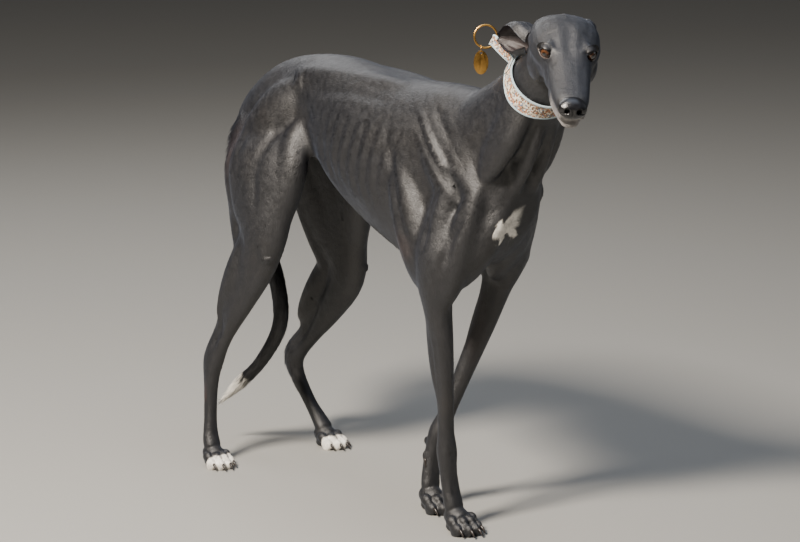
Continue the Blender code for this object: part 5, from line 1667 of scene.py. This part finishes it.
lid_finish = make_lid_finish()
for side, label in ((-1, "right"), (1, "left")):
    finish_piece(make_lids(side, label), lid_finish, "coat")

# %% [markdown]
# Claws are blunt black horn, bent down to the floor. Each is one loft from the toe to its tip, and the eighteen of
# them are joined, because they are one thing repeated.

# %% Claws
CLAW_RADIUS = 0.0034


def make_claw(root, tip, radius):
    """A bent, tapered horn from root to tip, flatter than it is high."""
    middle = [(a + b) / 2 for a, b in zip(root, tip)]
    middle[2] += 0.0028
    rows = [(*at, radius * side, radius * front, radius * behind, 2) for at, side, front, behind in
            ((root, 0.8, 1.0, 1.0), (middle, 0.72, 0.9, 0.8), (tip, 0.25, 0.3, 0.25))]
    return loft("claw", rows, UP, around=14, steps=5)


def make_claws():
    pieces = []
    for name, (forward, left, turn, scale) in PAWS.items():
        side = 1 if name.endswith("left") else -1
        turned = Matrix.Rotation(math.radians(turn * side), 4, "Z") @ Matrix.Scale(scale, 4)
        moved = Matrix.Translation(place(forward, left, -SOLE_SINK)) @ turned
        for across, reach in TOES:
            claw = make_claw((reach + 0.007, across, 0.0145), (reach + 0.0238, across * 1.04, 0.0050), CLAW_RADIUS)
            claw.data.transform(moved)
            pieces.append(claw)
        if name.startswith("fore"):
            wrist = LEG_PATHS[name][8]
            root = (wrist[0] - 0.006, wrist[1] - side * 0.014, wrist[2] - 0.008)
            pieces.append(make_claw((root[0] + 0.002, root[1] - side * 0.002, root[2] - 0.004),
                                    (root[0] + 0.008, root[1] - side * 0.006, root[2] - 0.018), CLAW_RADIUS * 0.9))
    alone(*pieces)
    bpy.ops.object.join()
    claws = bpy.context.object
    claws.name = "claws"
    claws.data.transform(Matrix.Translation(SHIFT))
    return claws


def make_horn():
    """Horn grows in long fibres, so its shine is streaked lengthwise."""
    material, shader = new_material("black claw horn")
    where = own_place(material)
    streaks = stretched_noise(material, where, (1400.0, 160.0, 700.0))
    join(material, mixed_colour(material, streaks, "#0b0908", "#332b27"), shader, "Base Color")
    join(material, scaled(material, streaks, 0.25, 0.22), shader, "Roughness")
    bumped(material, shader, streaks, 0.3, 0.0003)
    return material


claws = finish_piece(make_claws(), make_horn(), "coat")

# %% [markdown]
# The collar is a printed webbing band with pale woven edges. It is laid over the neck on the radii that the packed
# band has, which are read back from its corners round the collar's axis and joined by a smooth curve. A second
# strap, its loop, rises from the nape, where its lead used to pull it, and turns round a ring.

# %% Webbing band and loop
COLLAR_MIDDLE = (0.3790, -0.0170, 0.7780)
COLLAR_AXIS = (0.66, -0.24, 0.70)
BAND_WIDTH = 0.027
BAND_STEPS = 44
BAND_FINE = 352
BAND_WAVES = 12          # how many waves round the neck the smooth curve keeps
BAND_THICK = 0.0022
LOOP_WIDTH = 0.018
LOOP_THICK = 0.0018
LOOP_LIFT = BAND_THICK + LOOP_THICK / 2 + 0.0009
LOOP_LEAVES = (-42, 14)  # degrees from the nape, right and left
LOOP_LIES = 26
LOOP_PEEL = 0.0022
LOOP_BEND = (0.2840, -0.0300, 0.8310)
LOOP_BEND_RADIUS = 0.0076
EDGING = 0.0030
# a strap's section: across its half width, and up its thickness; the edges are piped
STRAP_SECTION = ((-0.95, 0.00), (0.00, 0.00), (0.95, 0.00), (1.00, 0.25), (1.01, 0.80), (0.97, 1.12), (0.90, 1.20),
                 (0.82, 1.14), (0.77, 0.94), (0.40, 1.00), (0.00, 1.02), (-0.40, 1.00), (-0.77, 0.94), (-0.82, 1.14),
                 (-0.90, 1.20), (-0.97, 1.12), (-1.01, 0.80), (-1.00, 0.25))


def collar_frame():
    """The collar's middle, its axis along the neck, and the directions to the nape and to the dog's left."""
    axis = place(*COLLAR_AXIS).normalized()
    top = (UP - axis * UP.dot(axis)).normalized()
    return place(*COLLAR_MIDDLE), axis, top, top.cross(axis)


def band_radii():
    """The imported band's inner radius at each of its two edges, on a smooth curve round the neck."""
    middle, axis, top, side = (np.array(v) for v in collar_frame())
    own = points_of(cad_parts["collar_band"]) - np.array(SHIFT) - middle
    angle = np.degrees(np.arctan2(own @ side, own @ top)) % 360
    radius = np.hypot(own @ side, own @ top)
    rings = []
    for edge in (-1, 1):
        inner = []
        for k in range(BAND_STEPS):
            turn = np.abs((angle - 360 * k / BAND_STEPS + 180) % 360 - 180)
            inner.append(radius[(turn < 2) & (own @ axis * edge > 0)].min())
        waves = np.fft.rfft(inner)[:BAND_WAVES]
        rings.append(np.fft.irfft(waves, BAND_FINE) * BAND_FINE / BAND_STEPS)
    return rings


def band_point(degrees, edge, lift):
    """A point at an angle from the nape, lift above the band's inner side, across the band from -1 to 1."""
    middle, axis, top, side = collar_frame()
    angle = math.radians(degrees)
    low, high = (np.interp(degrees % 360, np.arange(BAND_FINE + 1) * 360 / BAND_FINE, np.append(ring, ring[0]))
                 for ring in RADII)
    ray = top * math.cos(angle) + side * math.sin(angle)
    return middle + axis * (edge * BAND_WIDTH / 2) + ray * (low + (high - low) * (edge + 1) / 2 + lift)


def strap(name, rings, closed, half_width):
    """A woven strap from rings of points. Its own map is in metres: along it, and across it."""
    size = len(STRAP_SECTION)
    work = bmesh.new()
    layer = work.loops.layers.uv.new("weave")
    corners = [[work.verts.new(point) for point in ring] for ring in rings]
    middles = [sum(ring, Vector()) / size for ring in rings]
    run = [0.0]
    for low, high in zip(middles, middles[1:] + middles[:1]):
        run.append(run[-1] + (high - low).length)
    following = corners[1:] + corners[:1] if closed else corners[1:]
    for k, (low, high) in enumerate(zip(corners, following)):
        for i in range(size):
            j = (i + 1) % size
            face = work.faces.new((low[i], low[j], high[j], high[i]))
            for loop, along, at in zip(face.loops, (run[k], run[k], run[k + 1], run[k + 1]), (i, j, j, i)):
                loop[layer].uv = (along, STRAP_SECTION[at][0] * half_width)
    if not closed:
        work.faces.new(corners[0])
        work.faces.new(corners[-1])
    obj = mesh_from(name, work)
    write_attribute(obj, "inset", np.tile([(1 - abs(row[0])) * half_width for row in STRAP_SECTION], len(rings)))
    obj.data.transform(Matrix.Translation(SHIFT))
    return obj


def make_band():
    rings = [[band_point(360 * k / BAND_FINE, x, y * BAND_THICK) for x, y in STRAP_SECTION]
             for k in range(BAND_FINE)]
    return strap("webbing_band", rings, True, BAND_WIDTH / 2)


def loop_frame():
    """The loop's directions at the ring: back, from its right end to its left, and across the strap."""
    near_end, far_end = (band_point(degrees, 0, LOOP_LIFT) for degrees in LOOP_LEAVES)
    back_way = (place(*LOOP_BEND) - (near_end + far_end) / 2).normalized()
    normal = place(*RING_FACES).normalized()
    reach = (back_way - normal * back_way.dot(normal)).normalized()
    across = normal.cross(reach)
    if across.dot(UP) < 0:
        across = -across
    spread = (near_end - far_end) - across * (near_end - far_end).dot(across)
    spread = (spread - back_way * spread.dot(back_way)).normalized()
    return spread.cross(across) * (1 if spread.cross(across).dot(back_way) > 0 else -1), spread, across


def make_loop():
    """A strap sewn to the band's right side, up round the ring and back to the band's left side."""
    back_way, spread, across = loop_frame()
    bend = place(*LOOP_BEND)
    turn = [bend + spread * (LOOP_BEND_RADIUS * math.cos(math.pi * k / 6))
            + back_way * (LOOP_BEND_RADIUS * math.sin(math.pi * k / 6)) for k in range(7)]
    ends = [[band_point(degrees + sign * LOOP_LIES * k / 3, 0, LOOP_LIFT + (0 if k else LOOP_PEEL))
             for k in (3, 2, 1, 0)] for sign, degrees in zip((-1, 1), LOOP_LEAVES)]
    rises = [[start.lerp(stop, k / 3) for k in (1, 2)] for start, stop in ((ends[0][-1], turn[0]),
                                                                           (turn[-1], ends[1][-1]))]
    path = ends[0] + rises[0] + turn + rises[1] + ends[1][::-1]
    twist = [0] * 4 + [1 / 3, 2 / 3] + [1] * 7 + [2 / 3, 1 / 3] + [0] * 4
    slopes = [(band_point(degrees, 1, 0) - band_point(degrees, -1, 0)).normalized() for degrees in LOOP_LEAVES]
    slopes = [slope if slope.dot(across) > 0 else -slope for slope in slopes]
    rows = []
    for i, (point, part) in enumerate(zip(path, twist)):
        wide = slopes[0 if i < len(path) / 2 else 1].lerp(across, part)
        rows.append((*point, *wide))
    rows = [(Vector(row[:3]), Vector(row[3:])) for row in smooth_rows(rows, 8)]
    rings = []
    for i, (point, wide) in enumerate(rows):
        along = (rows[min(i + 1, len(rows) - 1)][0] - rows[max(i - 1, 0)][0]).normalized()
        wide = (wide - along * wide.dot(along)).normalized()
        flat = along.cross(wide) * LOOP_THICK
        rings.append([point + wide * (x * LOOP_WIDTH / 2) + flat * (y - 0.5) for x, y in STRAP_SECTION])
    return strap("webbing_loop", rings, False, LOOP_WIDTH / 2)


def make_webbing():
    """Cotton webbing with a printed mosaic of small patches, in a plain weave with a pale woven edge."""
    material, shader = new_material("printed cotton webbing")
    where = add_node(material, "ShaderNodeUVMap", uv_map="weave").outputs["UV"]
    wander = add_node(material, "ShaderNodeTexNoise", {"Vector": where}, {"Scale": 320.0, "Detail": 2.0})
    bent = add_node(material, "ShaderNodeVectorMath", {0: wander.outputs["Color"]}, {1: (0.0016, 0.0016, 0.0)},
                    operation="MULTIPLY")
    bent = add_node(material, "ShaderNodeVectorMath", {0: where, 1: bent.outputs[0]}, operation="ADD").outputs[0]
    cells = add_node(material, "ShaderNodeTexVoronoi", {"Vector": bent}, {"Scale": 400.0, "Randomness": 0.95},
                     voronoi_dimensions="2D")
    gaps = add_node(material, "ShaderNodeTexVoronoi", {"Vector": bent}, {"Scale": 400.0, "Randomness": 0.95},
                    voronoi_dimensions="2D", feature="DISTANCE_TO_EDGE")
    pick = add_node(material, "ShaderNodeSeparateColor", {"Color": cells.outputs["Color"]})
    paint = set_ramp(add_node(material, "ShaderNodeValToRGB", {"Fac": pick.outputs["Red"]}),
                     ((0.0, "#d9cdb8"), (0.24, "#6b4632"), (0.45, "#b8693a"), (0.60, "#5c7a96"), (0.74, "#efe9dc"),
                      (0.88, "#3c2a24")))
    paint.color_ramp.interpolation = "CONSTANT"
    seam = number(material, "LESS_THAN", gaps.outputs["Distance"], 0.10)
    printed = mixed_colour(material, number(material, "MULTIPLY", seam, 0.7), paint.outputs["Color"], "#cbb9a2")
    inset = attribute(material, "inset").outputs["Fac"]
    edging = number(material, "LESS_THAN", inset, EDGING)
    printed = mixed_colour(material, edging, printed, "#b9ccd4")
    parts = add_node(material, "ShaderNodeSeparateXYZ", {"Vector": where})
    along = number(material, "SINE", number(material, "MULTIPLY", parts.outputs["X"], 2 * math.pi / 0.0011))
    over = number(material, "SINE", number(material, "MULTIPLY", parts.outputs["Y"], 2 * math.pi / 0.0014))
    weave = number(material, "MULTIPLY", along, over)
    dirt = add_node(material, "ShaderNodeTexNoise", {"Vector": where}, {"Scale": 60.0, "Detail": 3.0})
    shade = number(material, "ADD", number(material, "MULTIPLY", weave, 0.10),
                   number(material, "ADD", number(material, "MULTIPLY", dirt.outputs["Fac"], 0.4), 0.68))
    tinted = add_node(material, "ShaderNodeVectorMath", {0: printed}, operation="SCALE")
    join(material, shade, tinted, "Scale")
    join(material, tinted.outputs[0], shader, "Base Color")
    shader.inputs["Roughness"].default_value = 0.80
    shader.inputs["Specular IOR Level"].default_value = 0.30
    bumped(material, shader, weave, 0.6, 0.0003)
    return material


# %% [markdown]
# The ring, the tag's small ring and the tag are worn brass. The tag is a blank oval with a raised rim. It is a
# cylinder scaled to an oval, whose two caps are inset and pressed in, with a hole cut for the small ring.

# %% Ring and tag
RING_RADIUS = 0.0185
RING_WIRE = 0.0018
TAG_RING_RADIUS = 0.0058
TAG_RING_WIRE = 0.0007
TAG_SIZE = (0.0245, 0.0395, 0.0016)
TAG_HOLE_RADIUS = 0.0022
TAG_HOLE_MARGIN = 0.0042
TAG_SWING = math.radians(24)
RING_FACES = (0.76, -0.62, 0.20)
PLAY = 0.0003            # between metal and metal


def ring_of(name, radius, wire, middle, axes):
    bpy.ops.mesh.primitive_torus_add(major_radius=radius, minor_radius=wire, major_segments=120, minor_segments=20)
    ring = bpy.context.object
    ring.name = name
    turned = Matrix(axes).transposed().to_4x4()
    ring.data.transform(Matrix.Translation(Vector(middle) + SHIFT) @ turned)
    return settle(ring)


def make_hardware():
    """The ring in the loop's turn, the small ring on it and the oval tag."""
    back_way = loop_frame()[0]
    normal = place(*RING_FACES).normalized()
    reach = (back_way - normal * back_way.dot(normal)).normalized()
    middle = place(*LOOP_BEND) + reach * RING_RADIUS
    ring = ring_of("brass_ring", RING_RADIUS, RING_WIRE, middle, (reach, normal.cross(reach), normal))
    down = (normal * UP.dot(normal) - UP).normalized()
    behind = (reach - down * reach.dot(down)).normalized()
    low = middle + (down * math.cos(TAG_SWING) + behind * math.sin(TAG_SWING)) * RING_RADIUS
    hang = low - UP * (TAG_RING_RADIUS - RING_WIRE - TAG_RING_WIRE - PLAY)
    flat = (normal - UP * normal.dot(UP)).normalized()
    small = ring_of("tag_small_ring", TAG_RING_RADIUS, TAG_RING_WIRE, hang, (UP, flat, UP.cross(flat)))
    return ring, small, make_tag(hang, flat)


def make_tag(hang, facing):
    width, height, thick = TAG_SIZE
    hole_drop = height / 2 - TAG_HOLE_MARGIN
    sides = 96
    bpy.ops.mesh.primitive_cylinder_add(vertices=sides, radius=1, depth=1)
    tag = bpy.context.object
    tag.name = "brass_tag"
    tag.scale = (width / 2, height / 2, thick)
    settle(tag)
    bpy.ops.object.mode_set(mode="EDIT")
    bpy.ops.mesh.select_all(action="DESELECT")
    bpy.ops.mesh.select_face_by_sides(number=sides)
    bpy.ops.mesh.inset(thickness=0.0012)
    bpy.ops.mesh.inset(thickness=0.0003, depth=-0.00022)
    bpy.ops.object.mode_set(mode="OBJECT")
    bpy.ops.mesh.primitive_cylinder_add(vertices=40, radius=TAG_HOLE_RADIUS, depth=0.01, location=(0, hole_drop, 0))
    punch = settle(bpy.context.object)
    combine(tag, [punch], "DIFFERENCE")
    add_modifier(tag, "BEVEL", width=0.00018, segments=2, limit_method="ANGLE", angle_limit=math.radians(40))
    apply_modifiers(tag)
    turned = Matrix((UP.cross(facing), UP, facing)).transposed().to_4x4()
    hole = hang - UP * (TAG_RING_RADIUS - TAG_RING_WIRE - PLAY + TAG_HOLE_RADIUS)
    tag.data.transform(Matrix.Translation(hole - UP * hole_drop + SHIFT) @ turned)
    return tag


def make_brass():
    """Brass, lighter and darker in cloudy patches of wear, with fine scratches stretched one way."""
    material, shader = new_material("worn brass")
    where = own_place(material)
    cloud = add_node(material, "ShaderNodeTexNoise", {"Vector": where}, {"Scale": 140.0, "Detail": 4.0})
    scratch = stretched_noise(material, where, (2600.0, 300.0, 1400.0), (0.3, 0.8, 0.5))
    join(material, mixed_colour(material, cloud.outputs["Fac"], "#8f6a34", "#d3a45a"), shader, "Base Color")
    shader.inputs["Metallic"].default_value = 1.0
    join(material, scaled(material, scratch, 0.35, 0.12), shader, "Roughness")
    bumped(material, shader, scratch, 0.25, 0.0002)
    return material


RADII = band_radii()
webbing, brass = make_webbing(), make_brass()
finish_piece(make_band(), webbing, "webbing", "collar_band")
finish_piece(make_loop(), webbing, "webbing", "collar_loop")
for piece, node in zip(make_hardware(), ("collar_ring", "tag_ring", "tag")):
    finish_piece(piece, brass, "brass", node)
    piece.data.set_sharp_from_angle(angle=math.radians(50))

# %% [markdown]
# The camera stands where the photographer stood: some metres off the dog's right shoulder and a little above it,
# with a long lens, so that the near and far legs keep nearly one scale.

# %% Camera
CAMERA_TURN = math.radians(39)
CAMERA_HEIGHT = math.radians(12)
CAMERA_DISTANCE = 5.5
CAMERA_AIM = Vector((SHIFT.x, SHIFT.y, 0.400))
LENS = 143.6
SENSOR = 36.0

back = Vector((-math.sin(CAMERA_TURN) * math.cos(CAMERA_HEIGHT), -math.cos(CAMERA_TURN) * math.cos(CAMERA_HEIGHT),
               math.sin(CAMERA_HEIGHT)))
bpy.ops.object.camera_add(location=CAMERA_AIM + back * CAMERA_DISTANCE)
camera = bpy.context.object
camera.rotation_euler = back.to_track_quat("Z", "Y").to_euler()
camera.data.lens = LENS
camera.data.sensor_width = SENSOR
camera.data.clip_end = 60
bpy.context.scene.camera = camera
print("camera", [round(v, 3) for v in camera.location])

# %% [markdown]
# A pale floor and four soft lamps: a broad one overhead, as the open sky gives, a warmer key from the left of the
# picture, where the sun stood, a weak one from the front, and one from behind that draws the outline.

# %% Floor and light
FLOOR_GREY = "#8f8e8a"


def make_floor():
    bpy.ops.mesh.primitive_grid_add(x_subdivisions=8, y_subdivisions=8, size=24)
    floor = bpy.context.object
    floor.name = "floor"
    material, shader = new_material("matt pale floor")
    shader.inputs["Base Color"].default_value = linear(FLOOR_GREY)
    shader.inputs["Roughness"].default_value = 0.85
    floor.data.materials.append(material)


def lamp(name, turn, height, distance, size, watts, colour):
    """A square lamp that looks at the dog's chest, from a turn about the dog and a height in degrees."""
    turn, height = math.radians(turn), math.radians(height)
    way = Vector((math.sin(turn) * math.cos(height), -math.cos(turn) * math.cos(height), math.sin(height)))
    bpy.ops.object.light_add(type="AREA", location=Vector((0, 0, 0.5)) + way * distance)
    light = bpy.context.object
    light.name = name
    light.rotation_euler = way.to_track_quat("Z", "Y").to_euler()
    light.data.size = size
    light.data.energy = watts
    light.data.color = linear(colour)[:3]


make_floor()
lamp("sky", -20, 78, 3.2, 2.6, 55, "#dce9ff")
lamp("key", -82, 44, 3.6, 0.8, 430, "#fff4e6")
lamp("fill", 55, 24, 4.0, 2.6, 8, "#eef4ff")
lamp("rim", 165, 40, 3.6, 1.6, 45, "#ffffff")
world = bpy.data.worlds.new("studio")
bpy.context.scene.world = world
world.use_nodes = True
world.node_tree.nodes["Background"].inputs["Color"].default_value = linear("#dfe3e8")
world.node_tree.nodes["Background"].inputs["Strength"].default_value = 0.08

# %% Bring the scene up to date
bpy.context.view_layer.update()
